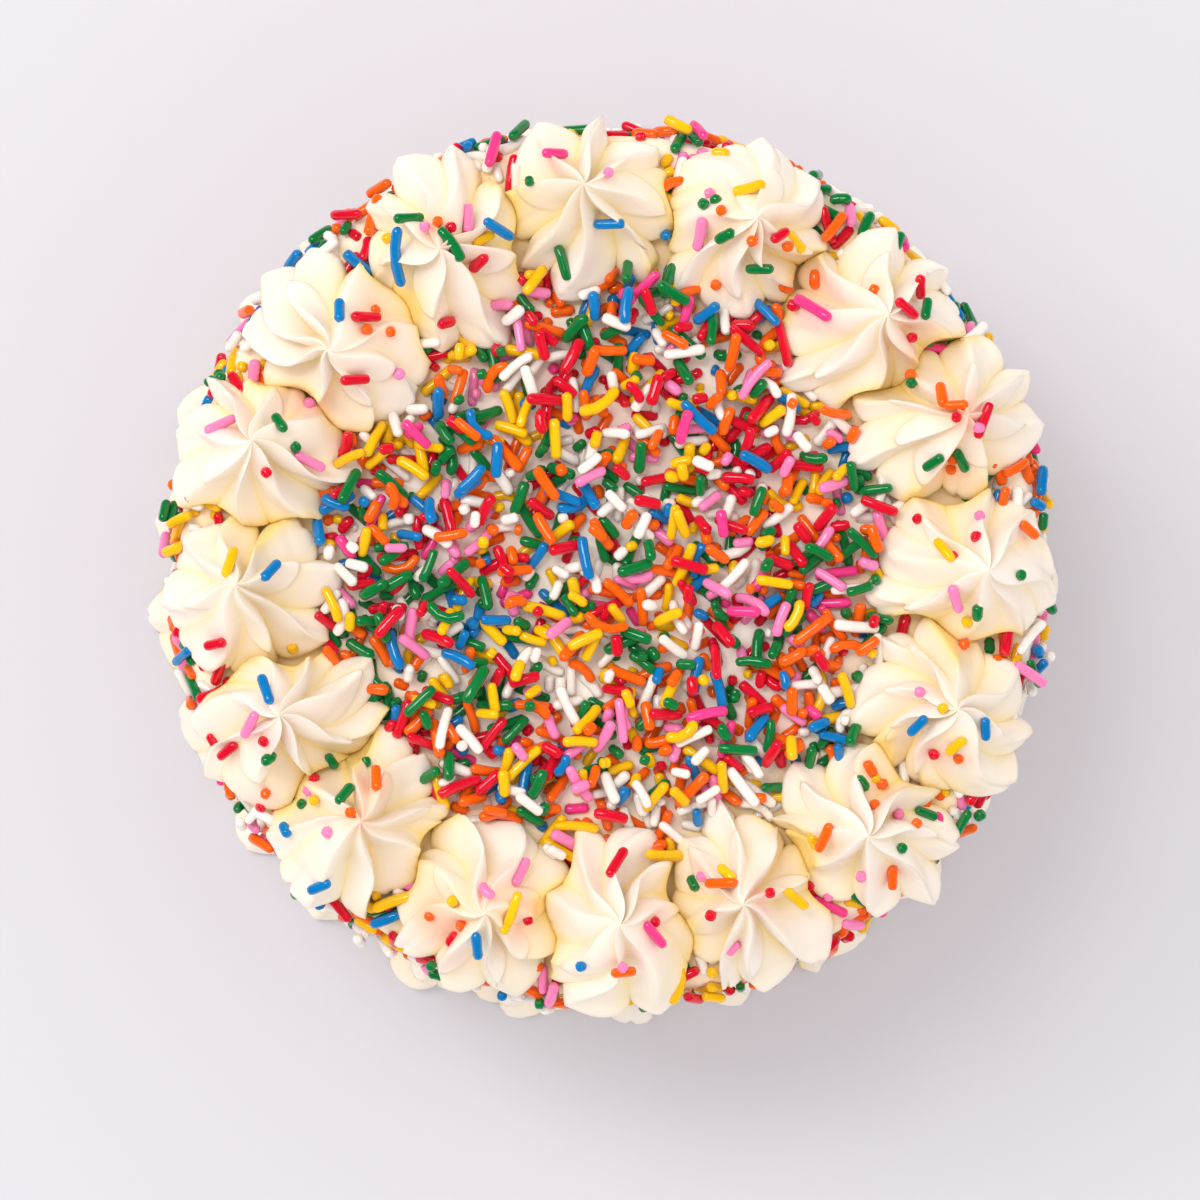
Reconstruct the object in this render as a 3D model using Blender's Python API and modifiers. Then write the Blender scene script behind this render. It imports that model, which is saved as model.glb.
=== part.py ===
"""Rainbow cake: a round frosted cake with sprinkles, a ring of piped swirls on top and a border at its foot.

Metres, +Z up. The origin is the middle of the cake's flat underside, and +Y is the back of the cake.
"""

import math
import random

import bmesh
import bpy
from mathutils import Matrix, Vector
from mathutils.bvhtree import BVHTree

MM = 0.001

# Frosted cake
CAKE_RADIUS = 75 * MM
CAKE_HEIGHT = 90 * MM
SHOULDER_RADIUS = 5 * MM
SHOULDER_STEPS = 3
CAKE_SIDES = 40

# Clearance between pieces that touch
GAP = 0.3 * MM

# Sprinkles: round sugar rods with pointed ends, longest first
SPRINKLE_RADIUS = 0.88 * MM
SPRINKLE_LONGEST = 7.6 * MM
SPRINKLE_SHORTEST = 4.6 * MM
SPRINKLE_POINT = 0.44 * MM
SPRINKLE_SIDES = 5
SPRINKLE_LIFT = 0.15 * MM
CANDIDATES = 14

# Sprinkles on the flat top and on the side of the cake
FIELD_RADIUS = 42.5 * MM
FIELD_COUNT = 80
FIELD_SEED = 11
WALL_COUNT = 30
WALL_SEED = 12
WALL_LOW = 24 * MM
WALL_HIGH = 82 * MM

# Sprinkles on a top swirl: their length and their reach from its middle as shares of the longest and of
# the half width, how far apart they fall, and the least upward part of the normal that holds one
SWIRL_SPRINKLES = 3
SWIRL_SPRINKLE_SEED = 300
SWIRL_SPRINKLE_LENGTH = 0.85
SWIRL_SPRINKLE_NEAR = 0.30
SWIRL_SPRINKLE_FAR = 0.78
SWIRL_SPRINKLE_SPACING = 4.5 * MM
SWIRL_SPRINKLE_LEVEL = 0.35
SWIRL_SPRINKLE_TRIES = 200

# Piped swirls on the top, clockwise from the back: bearing in degrees, distance of the middle from the
# cake's axis, length along and width across the ring's radius, twist of the petals in degrees, and how
# far the tip leans outward and sideways, all lengths in millimetres
TOP_SWIRLS = (
    (93.9, 62.1, 33.4, 32.8, 16, 1.9, 0.4),
    (68.5, 62.1, 34.5, 32.3, -14, 1.0, -1.4),
    (43.7, 60.2, 36.4, 33.1, 20, 2.2, -1.9),
    (23.4, 63.2, 35.2, 30.5, -22, 1.6, -0.9),
    (-0.2, 61.5, 35.1, 31.9, 14, 1.8, -1.0),
    (-23.5, 62.5, 35.1, 31.6, -10, 0.6, 0.7),
    (-45.8, 63.0, 34.5, 31.6, 24, -0.2, -1.2),
    (-67.8, 62.5, 35.5, 31.0, -18, -1.1, -1.4),
    (-88.7, 61.6, 36.2, 31.0, 12, -1.0, -0.1),
    (-110.6, 62.3, 35.1, 31.4, -20, 0.4, 0.6),
    (-134.1, 62.2, 36.3, 32.3, 18, -1.8, -0.2),
    (-154.2, 61.8, 36.0, 31.0, -12, -0.3, -1.3),
    (-174.8, 62.5, 34.0, 31.2, 22, 0.7, -2.2),
    (162.3, 63.0, 34.8, 30.8, -16, 1.0, -1.2),
    (140.8, 60.0, 35.2, 31.9, 14, -0.4, 2.6),
    (116.7, 61.0, 36.8, 33.1, -24, -0.8, 2.2),
)
TOP_SWIRL_HEIGHT = 21.5 * MM
TOP_PETALS = 8
TOP_SEED = 100
TOP_LEVELS = (0.0, 0.14, 0.44, 0.80)

# Border swirls at the foot: every third one is twisted the other way
BASE_SWIRLS = 25
BASE_SWIRL_HEIGHT = 16 * MM
BASE_SWIRL_WIDTH = 25 * MM
BASE_RING_RADIUS = 76.2 * MM
BASE_TWIST = 12
BASE_TURN_EVERY = 3
BASE_LEAN = 0.4 * MM
BASE_PETALS = 6
BASE_SEED = 200
BASE_LEVELS = (0.0, 0.14, 0.56)

# Petals round a swirl: how far their edges stray, their length beside the half width, and how far the
# crest lies from the middle, at mid height
EDGE_STRAY = 0.24
PETAL_SHORTEST = 0.88
PETAL_LONGEST = 1.08
CREST_LEAST = 0.10
CREST_MOST = 0.42

# Crest of a petal: a pointed dome that is widest at foot height and tucked in below it
DOME_POWER = 1.15
DOME_ROUND = 0.90
FOOT_TUCK = 0.12
FOOT_HEIGHT = 0.14
LEAN_POWER = 1.3

# Star section: lobes near the foot that turn into ridges between deep valleys higher up. Depths are
# shares of the radius. One flank of a petal is steep, because the crest lies off the middle, and more so
# higher up.
LOBE_DEPTH = 0.22
LOBE_ROUND = 2.6
LOBE_STEEP = 1.3
LOBE_HEIGHT = 0.18
RIDGE_DEPTH = 0.56
RIDGE_ROUND = 1.1
RIDGE_STEEP = 0.9
RIDGE_START = 0.45
RIDGE_GROWTH = 1.1
CREST_SHIFT = 1.8
CREST_START = 0.65
CREST_GROWTH = 1.5

# Wedge of room that one swirl has between its neighbours
SECTOR_NEAR = 20 * MM
SECTOR_FAR = 110 * MM
SECTOR_FLOOR = -10 * MM
SECTOR_TOP = 130 * MM

# Points closer than this are one point
MERGE = 0.01 * MM

CREAM = (1.0, 0.93, 0.76)
PIPED_CREAM = (1.0, 0.92, 0.73)
BORDER_CREAM = (0.99, 0.91, 0.74)
CREAM_ROUGHNESS = 0.45


def clear_scene():
    for obj in list(bpy.data.objects):
        bpy.data.objects.remove(obj)


def new_collection(name):
    collection = bpy.data.collections.new(name)
    bpy.context.scene.collection.children.link(collection)
    return collection


def cream_material(name, colour):
    material = bpy.data.materials.new(name)
    material.use_nodes = True
    shader = material.node_tree.nodes["Principled BSDF"]
    shader.inputs["Base Color"].default_value = (*colour, 1)
    shader.inputs["Roughness"].default_value = CREAM_ROUGHNESS
    shader.inputs["Metallic"].default_value = 0
    return material


def object_from(bm, name, collection):
    mesh = bpy.data.meshes.new(name)
    bm.normal_update()
    bm.to_mesh(mesh)
    bm.free()
    obj = bpy.data.objects.new(name, mesh)
    collection.objects.link(obj)
    return obj


def apply_modifiers(obj):
    graph = bpy.context.evaluated_depsgraph_get()
    done = bpy.data.meshes.new_from_object(obj.evaluated_get(graph))
    obj.modifiers.clear()
    obj.data = done


def cut_to(obj, cutter):
    """Keeps only what lies inside the cutter."""
    cut = obj.modifiers.new("room between neighbours", "BOOLEAN")
    cut.operation = "INTERSECT"
    cut.object = cutter
    apply_modifiers(obj)


def fuse(obj, toppings):
    """Joins every object of the collection to obj, and removes the collection."""
    join = obj.modifiers.new("toppings", "BOOLEAN")
    join.operation = "UNION"
    join.operand_type = "COLLECTION"
    join.collection = toppings
    join.solver = "MANIFOLD"
    apply_modifiers(obj)
    for topping in list(toppings.objects):
        bpy.data.objects.remove(topping)
    bpy.data.collections.remove(toppings)


def sprinkle(place, along, outward, length, toppings):
    """One rod with pointed ends, lying at place along the surface whose normal is outward."""
    bm = bmesh.new()
    turns = [math.tau * n / SPRINKLE_SIDES for n in range(SPRINKLE_SIDES)]
    section = [(SPRINKLE_RADIUS * math.cos(turn), SPRINKLE_RADIUS * math.sin(turn)) for turn in turns]
    straight = length / 2 - SPRINKLE_POINT
    low = [bm.verts.new((x, y, -straight)) for x, y in section]
    high = [bm.verts.new((x, y, straight)) for x, y in section]
    bottom = bm.verts.new((0, 0, -length / 2))
    top = bm.verts.new((0, 0, length / 2))
    for n in range(SPRINKLE_SIDES):
        after = (n + 1) % SPRINKLE_SIDES
        bm.faces.new((low[after], low[n], bottom))
        bm.faces.new((low[n], low[after], high[after], high[n]))
        bm.faces.new((high[n], high[after], top))
    across = outward.cross(along).normalized()
    turn = Matrix((across, outward, along)).transposed().to_4x4()
    bmesh.ops.transform(bm, matrix=Matrix.Translation(place) @ turn, verts=bm.verts)
    return object_from(bm, "sprinkle", toppings)


def spread(draw, count, distance, fits):
    """The longest sprinkles first, each at whichever of several draws lies farthest from the others."""
    chosen = []
    for n in range(count):
        length = SPRINKLE_LONGEST - (SPRINKLE_LONGEST - SPRINKLE_SHORTEST) * n / count
        best = None
        for _ in range(CANDIDATES):
            candidate = draw()
            if not fits(candidate, length):
                continue
            room = min((distance(candidate, other) for other in chosen), default=1.0)
            if best is None or room > best[0]:
                best = (room, candidate, length)
        if best:
            chosen.append((*best[1], best[2]))
    return chosen


def field_sprinkles():
    """Places on the flat top: x, y, heading and length."""
    rng = random.Random(FIELD_SEED)

    def draw():
        reach = FIELD_RADIUS * math.sqrt(rng.random())
        bearing = rng.uniform(0, math.tau)
        return reach * math.cos(bearing), reach * math.sin(bearing), rng.uniform(0, math.pi)

    def fits(place, length):
        x, y, heading = place
        dx = math.cos(heading) * length / 2
        dy = math.sin(heading) * length / 2
        return max(math.hypot(x + dx, y + dy), math.hypot(x - dx, y - dy)) < FIELD_RADIUS

    def distance(one, other):
        return math.hypot(one[0] - other[0], one[1] - other[1])

    return spread(draw, FIELD_COUNT, distance, fits)


def wall_sprinkles():
    """Places on the side: bearing, height, heading and length."""
    rng = random.Random(WALL_SEED)

    def draw():
        return rng.uniform(0, math.tau), rng.uniform(WALL_LOW, WALL_HIGH), rng.uniform(0, math.pi)

    def fits(place, length):
        rise = abs(math.sin(place[2])) * length / 2
        return WALL_LOW < place[1] - rise and place[1] + rise < WALL_HIGH

    def distance(one, other):
        turn = math.remainder(one[0] - other[0], math.tau)
        return math.hypot(turn * CAKE_RADIUS, one[1] - other[1])

    return spread(draw, WALL_COUNT, distance, fits)


def cake_body(collection, material):
    """The frosted cake: a turned solid with a rounded shoulder, and the sprinkles fused to it."""
    bm = bmesh.new()
    profile = [(0, CAKE_HEIGHT)]
    for step in range(SHOULDER_STEPS + 1):
        angle = math.pi / 2 * (1 - step / SHOULDER_STEPS)
        profile.append(
            (
                CAKE_RADIUS - SHOULDER_RADIUS * (1 - math.cos(angle)),
                CAKE_HEIGHT - SHOULDER_RADIUS * (1 - math.sin(angle)),
            )
        )
    profile += [(CAKE_RADIUS, 0), (0, 0)]
    points = [bm.verts.new((x, 0, z)) for x, z in profile]
    for one, other in zip(points, points[1:]):
        bm.edges.new((one, other))
    body = object_from(bm, "cake_body", collection)
    turned = body.modifiers.new("turned", "SCREW")
    turned.steps = turned.render_steps = CAKE_SIDES
    turned.use_merge_vertices = True
    turned.merge_threshold = MERGE
    apply_modifiers(body)

    toppings = new_collection("cake_toppings")
    up = Vector((0, 0, 1))
    for x, y, heading, length in field_sprinkles():
        along = Vector((math.cos(heading), math.sin(heading), 0))
        sprinkle(Vector((x, y, CAKE_HEIGHT + SPRINKLE_LIFT)), along, up, length, toppings)
    for bearing, height, heading, length in wall_sprinkles():
        outward = Vector((math.cos(bearing), math.sin(bearing), 0))
        sideways = Vector((-math.sin(bearing), math.cos(bearing), 0))
        along = sideways * math.cos(heading) + up * math.sin(heading)
        place = outward * CAKE_RADIUS + up * height
        sprinkle(place, along, outward, length, toppings)
    fuse(body, toppings)
    body.data.materials.clear()
    body.data.materials.append(material)
    return body


def petals_of(count, seed):
    """For each petal of a swirl: start angle, end angle, length factor and where its crest lies, -1 to 1."""
    rng = random.Random(seed)
    edges = [math.tau * (k + rng.uniform(-EDGE_STRAY, EDGE_STRAY)) / count for k in range(count)]
    edges.append(edges[0] + math.tau)
    side = rng.choice((-1, 1))
    petals = []
    for start, end in zip(edges, edges[1:]):
        length = rng.uniform(PETAL_SHORTEST, PETAL_LONGEST)
        petals.append((start, end, length, side * rng.uniform(CREST_LEAST, CREST_MOST)))
    return petals


def crest_radius(rise):
    """The petal crest's distance from the swirl's middle, as a share of its half width."""
    if rise < FOOT_HEIGHT:
        return 1 - FOOT_TUCK * (1 - rise / FOOT_HEIGHT) ** 2
    above = (rise - FOOT_HEIGHT) / (1 - FOOT_HEIGHT)
    return (1 - above**DOME_POWER) ** DOME_ROUND


def clamped(value):
    return min(max(value, 0), 1)


def swirl_section(petals, rise, twist):
    """The star at this height, as (radius share, angle): crease, flank, crest and flank of each petal."""
    lobed = math.exp(-((rise / LOBE_HEIGHT) ** 2))
    depth = RIDGE_DEPTH * clamped(RIDGE_START + RIDGE_GROWTH * rise)
    shift = CREST_SHIFT * clamped(CREST_START + CREST_GROWTH * rise)
    star = []
    for start, end, length, crest in petals:
        place = shift * crest
        for across in (-1, (place - 1) / 2, place, (place + 1) / 2):
            off = abs(across - place) / (1 - place if across > place else 1 + place)
            steep = (across - place) * crest > 0
            ridge = depth * math.sin(off * math.pi / 2) ** (RIDGE_STEEP if steep else RIDGE_ROUND)
            lobe = LOBE_DEPTH * off ** (LOBE_STEEP if steep else LOBE_ROUND)
            groove = ridge * (1 - lobed) + lobe * lobed
            angle = start + (end - start) * (across + 1) / 2 + math.radians(twist) * (1 - rise)
            reach = 1 + (length - 1) * (1 - rise)
            star.append((crest_radius(rise) * reach * (1 - groove), angle))
    return star


def swirl_mesh(levels, petals, half_length, half_width, height, twist, lean):
    """A loft through unlike stars, closed by a flat underside and a pointed tip; +X is outward."""
    bm = bmesh.new()
    rings = []
    for rise in levels:
        shift = lean * rise**LEAN_POWER
        ring = []
        for share, angle in swirl_section(petals, rise, twist):
            x = half_length * share * math.cos(angle) + shift.x
            y = half_width * share * math.sin(angle) + shift.y
            ring.append(bm.verts.new((x, y, height * rise)))
        rings.append(ring)
    for low, high in zip(rings, rings[1:]):
        for n in range(len(low)):
            after = (n + 1) % len(low)
            bm.faces.new((low[n], low[after], high[after], high[n]))
    tip = bm.verts.new((lean.x, lean.y, height))
    top = rings[-1]
    for n in range(len(top)):
        bm.faces.new((top[n], top[(n + 1) % len(top)], tip))
    bm.faces.new(list(reversed(rings[0])))
    bmesh.ops.triangulate(bm, faces=bm.faces)
    bmesh.ops.recalc_face_normals(bm, faces=bm.faces)
    return bm


def sector(name, low, high, near, cutters):
    """A wedge between two bearings, each side half a gap inside its plane, as room for one swirl."""
    bm = bmesh.new()
    bmesh.ops.create_cube(bm, size=1)
    for vert in bm.verts:
        bearing, inset = (high, -GAP / 2) if vert.co.y > 0 else (low, GAP / 2)
        reach = SECTOR_FAR if vert.co.x > 0 else near
        height = SECTOR_TOP if vert.co.z > 0 else SECTOR_FLOOR
        vert.co = (
            reach * math.cos(bearing) - inset * math.sin(bearing),
            reach * math.sin(bearing) + inset * math.cos(bearing),
            height,
        )
    wedge = object_from(bm, name, cutters)
    wedge.hide_render = True
    wedge.display_type = "WIRE"
    return wedge


def set_on_ring(bm, bearing, distance, floor):
    place = Matrix.Rotation(bearing, 4, "Z") @ Matrix.Translation((distance, 0, floor))
    bmesh.ops.transform(bm, matrix=place, verts=bm.verts)


def drop_sprinkles(swirl, bearing, distance, half_width, seed, low, high):
    """Fuses sprinkles to a swirl where they fall on it, clear of the planes that bound its room."""
    rng = random.Random(seed)
    tree = BVHTree.FromObject(swirl, bpy.context.evaluated_depsgraph_get())
    toppings = new_collection(swirl.name + "_toppings")
    middle = Vector((distance * math.cos(bearing), distance * math.sin(bearing), 0))
    fallen = []
    tries = 0
    while len(fallen) < SWIRL_SPRINKLES and tries < SWIRL_SPRINKLE_TRIES:
        tries += 1
        reach = half_width * rng.uniform(SWIRL_SPRINKLE_NEAR, SWIRL_SPRINKLE_FAR)
        turn = rng.uniform(0, math.tau)
        heading = rng.uniform(0, math.tau)
        length = rng.uniform(SPRINKLE_SHORTEST, SPRINKLE_LONGEST) * SWIRL_SPRINKLE_LENGTH
        start = middle + Vector((reach * math.cos(turn), reach * math.sin(turn), 1))
        spot, normal, _, _ = tree.ray_cast(start, Vector((0, 0, -1)))
        if spot is None or normal.z < SWIRL_SPRINKLE_LEVEL:
            continue
        if any((spot - other).length < SWIRL_SPRINKLE_SPACING for other in fallen):
            continue
        across = Vector((math.cos(heading), math.sin(heading), 0))
        along = (across - normal * across.dot(normal)).normalized()
        clear = length / 2 + 2 * SPRINKLE_RADIUS
        out = math.hypot(spot.x, spot.y)
        off_low = out * math.sin(math.atan2(spot.y, spot.x) - low)
        off_high = out * math.sin(high - math.atan2(spot.y, spot.x))
        if min(off_low, off_high) < clear or spot.z < CAKE_HEIGHT + clear:
            continue
        fallen.append(spot)
        sprinkle(spot + normal * SPRINKLE_LIFT, along, normal, length, toppings)
    fuse(swirl, toppings)


def between(first, second):
    """The bearing half-way from the first bearing to the second, both in radians."""
    return first + math.remainder(second - first, math.tau) / 2


def top_swirls(collection, cutters, material):
    count = len(TOP_SWIRLS)
    floor = CAKE_HEIGHT + GAP
    for n, (bearing, distance, length, width, twist, out, side) in enumerate(TOP_SWIRLS):
        bearing = math.radians(bearing)
        before = math.radians(TOP_SWIRLS[n - 1][0])
        after = math.radians(TOP_SWIRLS[(n + 1) % count][0])
        low = between(bearing, after)
        high = between(bearing, before)
        lean = Vector((out, side)) * MM
        petals = petals_of(TOP_PETALS, TOP_SEED + n)
        bm = swirl_mesh(
            TOP_LEVELS, petals, length * MM / 2, width * MM / 2, TOP_SWIRL_HEIGHT, twist, lean
        )
        set_on_ring(bm, bearing, distance * MM, floor)
        name = f"top_swirl_{n + 1:02d}"
        swirl = object_from(bm, name, collection)
        cut_to(swirl, sector(name + "_room", low, high, SECTOR_NEAR, cutters))
        seed = SWIRL_SPRINKLE_SEED + n
        drop_sprinkles(swirl, bearing, distance * MM, width * MM / 2, seed, low, high)
        swirl.data.materials.clear()
        swirl.data.materials.append(material)


def base_border(collection, cutters, material):
    half = BASE_SWIRL_WIDTH / 2
    step = math.tau / BASE_SWIRLS
    for n in range(BASE_SWIRLS):
        bearing = n * step
        twist = BASE_TWIST if n % BASE_TURN_EVERY else -BASE_TWIST
        petals = petals_of(BASE_PETALS, BASE_SEED + n)
        lean = Vector((BASE_LEAN, 0))
        bm = swirl_mesh(BASE_LEVELS, petals, half, half, BASE_SWIRL_HEIGHT, twist, lean)
        set_on_ring(bm, bearing, BASE_RING_RADIUS, 0)
        name = f"base_swirl_{n + 1:02d}"
        swirl = object_from(bm, name, collection)
        near = (CAKE_RADIUS + GAP) / math.cos(step / 2)
        room = sector(name + "_room", bearing - step / 2, bearing + step / 2, near, cutters)
        cut_to(swirl, room)
        swirl.data.materials.clear()
        swirl.data.materials.append(material)


clear_scene()
cake = new_collection("rainbow_cake")
rooms = new_collection("rooms")
cake_body(cake, cream_material("frosting", CREAM))
top_swirls(cake, rooms, cream_material("piped_cream", PIPED_CREAM))
base_border(cake, rooms, cream_material("border_cream", BORDER_CREAM))
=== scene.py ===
import math
import random

import bpy
import numpy as np
from mathutils import Matrix, Vector, noise
from mathutils.bvhtree import BVHTree


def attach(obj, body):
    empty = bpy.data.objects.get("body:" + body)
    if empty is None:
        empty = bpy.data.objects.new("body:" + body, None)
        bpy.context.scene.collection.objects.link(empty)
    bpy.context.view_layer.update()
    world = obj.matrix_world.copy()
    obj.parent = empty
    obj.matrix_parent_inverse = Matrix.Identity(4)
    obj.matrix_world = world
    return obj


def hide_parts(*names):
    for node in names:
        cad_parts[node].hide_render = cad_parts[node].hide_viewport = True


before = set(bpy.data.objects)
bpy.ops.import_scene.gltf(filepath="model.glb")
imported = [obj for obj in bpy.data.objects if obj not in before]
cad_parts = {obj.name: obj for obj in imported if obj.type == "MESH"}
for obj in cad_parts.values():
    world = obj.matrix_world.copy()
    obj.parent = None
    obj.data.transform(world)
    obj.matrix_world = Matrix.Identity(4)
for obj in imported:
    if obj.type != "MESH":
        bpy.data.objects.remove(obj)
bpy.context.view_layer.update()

# Frosted cake
# A round cake under ivory buttercream, smoothed with a palette knife: a flat top, a rounded shoulder
# and a straight side. The knife leaves low waves. It stands for cake_body.
MM = 0.001
CAKE_RADIUS = 75 * MM
CAKE_HEIGHT = 90 * MM
SHOULDER_RADIUS = 5 * MM
WALL_TOP = CAKE_HEIGHT - SHOULDER_RADIUS
SHOULDER_ARC = SHOULDER_RADIUS * math.pi / 2
CAKE_SIDES = 240
RING_STEP = 1.6 * MM
SHOULDER_RINGS = 8
UNDERSIDE_INSET = 6 * MM
WAVE_HEIGHT = 0.45 * MM
WAVES_PER_METRE = 42.0
WAVE_STRETCH = (1.0, 1.0, 1.8)
LEVEL_SIDE = 3 * MM

# Cream: its colours, soft clouds of a second tone, its grain and its shine. Scales are waves in a metre.
FROSTING_PALE = (0.99, 0.915, 0.815)
FROSTING_TINT = (0.99, 0.815, 0.695)
# Painted warm shade for the corners where the frosting meets a dollop
FROSTING_CREASE_SHADE = (0.93, 0.66, 0.24)
FROSTING_ROUGHNESS = 0.5
CREAM_SHINE = 0.35
CLOUD_SCALE = 55.0
CLOUDS_FROM = 0.42
CLOUDS_TO = 0.68
CREAM_GRAIN = 620.0
CREAM_BUMP = 0.35
CREAM_BUMP_DEPTH = 0.12 * MM

# The sockets that the Mix node uses for colours
MIX_SHARE, MIX_ONE, MIX_OTHER, MIX_RESULT = 0, 6, 7, 2


def linked_object(name, mesh):
    obj = bpy.data.objects.new(name, mesh)
    bpy.context.scene.collection.objects.link(obj)
    return obj


def add_node(tree, kind, links=(), **settings):
    """A node with its settings, and with each named input linked to a socket or set to a value."""
    node = tree.nodes.new(kind)
    for name, value in settings.items():
        setattr(node, name, value)
    for key, value in dict(links).items():
        socket = node.inputs[key]
        if isinstance(value, bpy.types.NodeSocket):
            tree.links.new(value, socket)
        else:
            socket.default_value = value
    return node


def noise_map(tree, place, scale, detail, roughness):
    inputs = {"Vector": place, "Scale": scale, "Detail": detail, "Roughness": roughness}
    return add_node(tree, "ShaderNodeTexNoise", inputs).outputs["Fac"]


def worked_out(tree, kind, operation, one, other):
    """What a sum on two sockets or values gives."""
    return add_node(tree, kind, {0: one, 1: other}, operation=operation).outputs[0]


def mixed_colour(tree, share, one, other):
    """A colour between two, each of which is a socket or a fixed colour."""
    one, other = (end if isinstance(end, bpy.types.NodeSocket) else (*end, 1) for end in (one, other))
    inputs = {MIX_SHARE: share, MIX_ONE: one, MIX_OTHER: other}
    return add_node(tree, "ShaderNodeMix", inputs, data_type="RGBA").outputs[MIX_RESULT]


def finish_surface(tree, shader, colour, bumps, roughness, shine):
    """Gives the shader its colour, fine bumps, roughness and shine."""
    height, strength, depth = bumps
    inputs = {"Height": height, "Strength": strength, "Distance": depth}
    bump = add_node(tree, "ShaderNodeBump", inputs)
    tree.links.new(bump.outputs["Normal"], shader.inputs["Normal"])
    tree.links.new(colour, shader.inputs["Base Color"])
    shader.inputs["Roughness"].default_value = roughness
    shader.inputs["Specular IOR Level"].default_value = shine


def new_material(name):
    """A material with its node tree, its shader and a socket for the place on the object."""
    material = bpy.data.materials.new(name)
    material.use_nodes = True
    tree = material.node_tree
    place = add_node(tree, "ShaderNodeTexCoord").outputs["Object"]
    return material, tree, tree.nodes["Principled BSDF"], place


def cream_material(name, pale, crease_shade_tone, broad_tint, roughness):
    """Buttercream: pale on the lobes, with painted warm shade in its creases and corners, tinted where
    colour has bled into it.
    """
    material, tree, shader, place = new_material(name)
    clouds = noise_map(tree, place, CLOUD_SCALE, 3.0, 0.6)
    patches = add_node(
        tree, "ShaderNodeMapRange", {"Value": clouds, "From Min": CLOUDS_FROM, "From Max": CLOUDS_TO}
    )
    body = mixed_colour(tree, patches.outputs["Result"], pale, broad_tint)
    # Painted warm shade, mixed in by the crease value where creases, seams and corners lie
    crease_and_shade = add_node(tree, "ShaderNodeAttribute", attribute_name="crease_and_shade")
    crease_shaded = mixed_colour(tree, crease_and_shade.outputs["Fac"], body, crease_shade_tone)
    dye = add_node(tree, "ShaderNodeAttribute", attribute_name="dye")
    amount = add_node(tree, "ShaderNodeAttribute", attribute_name="dye_amount")
    stained = mixed_colour(tree, amount.outputs["Fac"], crease_shaded, dye.outputs["Color"])
    grain = noise_map(tree, place, CREAM_GRAIN, 4.0, 0.55)
    bumps = (grain, CREAM_BUMP, CREAM_BUMP_DEPTH)
    finish_surface(tree, shader, stained, bumps, roughness, CREAM_SHINE)
    return material


def named_tree(name, sizes):
    """A Geometry Nodes tree with one named input for each size, and its group input and output."""
    tree = bpy.data.node_groups.new(name, "GeometryNodeTree")
    tree.interface.new_socket("Geometry", in_out="INPUT", socket_type="NodeSocketGeometry")
    for label, value in sizes.items():
        kind = "NodeSocketInt" if isinstance(value, int) else "NodeSocketFloat"
        tree.interface.new_socket(label, in_out="INPUT", socket_type=kind).default_value = value
    tree.interface.new_socket("Geometry", in_out="OUTPUT", socket_type="NodeSocketGeometry")
    return tree, tree.nodes.new("NodeGroupInput"), tree.nodes.new("NodeGroupOutput")


def finish_tree(tree, geometry, out, material):
    whole = add_node(tree, "GeometryNodeRealizeInstances", {"Geometry": geometry})
    painted = add_node(tree, "GeometryNodeSetMaterial", {"Geometry": whole.outputs["Geometry"]})
    painted.inputs["Material"].default_value = material
    tree.links.new(painted.outputs["Geometry"], out.inputs["Geometry"])


def grown(obj, tree, sizes, material):
    """Runs the tree on obj and keeps what it makes as a plain mesh."""
    made = obj.modifiers.new(tree.name, "NODES")
    made.node_group = tree
    for item in tree.interface.items_tree:
        if item.name in sizes:
            made[item.identifier] = sizes[item.name]
    graph = bpy.context.evaluated_depsgraph_get()
    mesh = bpy.data.meshes.new_from_object(obj.evaluated_get(graph))
    obj.modifiers.clear()
    obj.data = mesh
    if material.name not in mesh.materials:
        mesh.materials.append(material)
    return obj


def cake_profile(along):
    """Way up the side, over the shoulder and inward on the top: radius, height and normal (out, up)."""
    turn = min(max(along - WALL_TOP, 0) / SHOULDER_RADIUS, math.pi / 2)
    inward = max(0, along - WALL_TOP - SHOULDER_ARC)
    radius = CAKE_RADIUS - SHOULDER_RADIUS * (1 - math.cos(turn)) - inward
    height = min(along, WALL_TOP) + SHOULDER_RADIUS * math.sin(turn)
    return radius, height, math.cos(turn), math.sin(turn)


def turned_mesh(name, rings, sides):
    """A closed solid from rings of (radius, height); a radius of nought is a pole."""
    points, faces, starts = [], [], []
    for radius, height in rings:
        starts.append(len(points))
        count = sides if radius > 0 else 1
        for n in range(count):
            turn = math.tau * n / sides
            points.append((radius * math.cos(turn), radius * math.sin(turn), height))
    for k in range(len(rings) - 1):
        low, high = starts[k], starts[k + 1]
        for n in range(sides):
            after = (n + 1) % sides
            if rings[k][0] == 0:
                faces.append((low, high + after, high + n))
            elif rings[k + 1][0] == 0:
                faces.append((low + n, low + after, high))
            else:
                faces.append((low + n, low + after, high + after, high + n))
    mesh = bpy.data.meshes.new(name)
    mesh.from_pydata(points, [], faces)
    mesh.shade_smooth()
    return mesh


def frosted_cake():
    rings = [(0, 0), (CAKE_RADIUS - UNDERSIDE_INSET, 0), (CAKE_RADIUS, 0)]
    wall_rings = round(WALL_TOP / RING_STEP)
    rings += [(CAKE_RADIUS, WALL_TOP * n / wall_rings) for n in range(1, wall_rings + 1)]
    for n in range(1, SHOULDER_RINGS + 1):
        radius, height, _, _ = cake_profile(WALL_TOP + SHOULDER_ARC * n / SHOULDER_RINGS)
        rings.append((radius, height))
    flat = CAKE_RADIUS - SHOULDER_RADIUS
    top_rings = round(flat / RING_STEP)
    rings += [(flat * (1 - n / top_rings), CAKE_HEIGHT) for n in range(1, top_rings)]
    rings.append((0, CAKE_HEIGHT))
    return linked_object("frosted_cake", turned_mesh("frosted_cake", rings, CAKE_SIDES))


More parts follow.
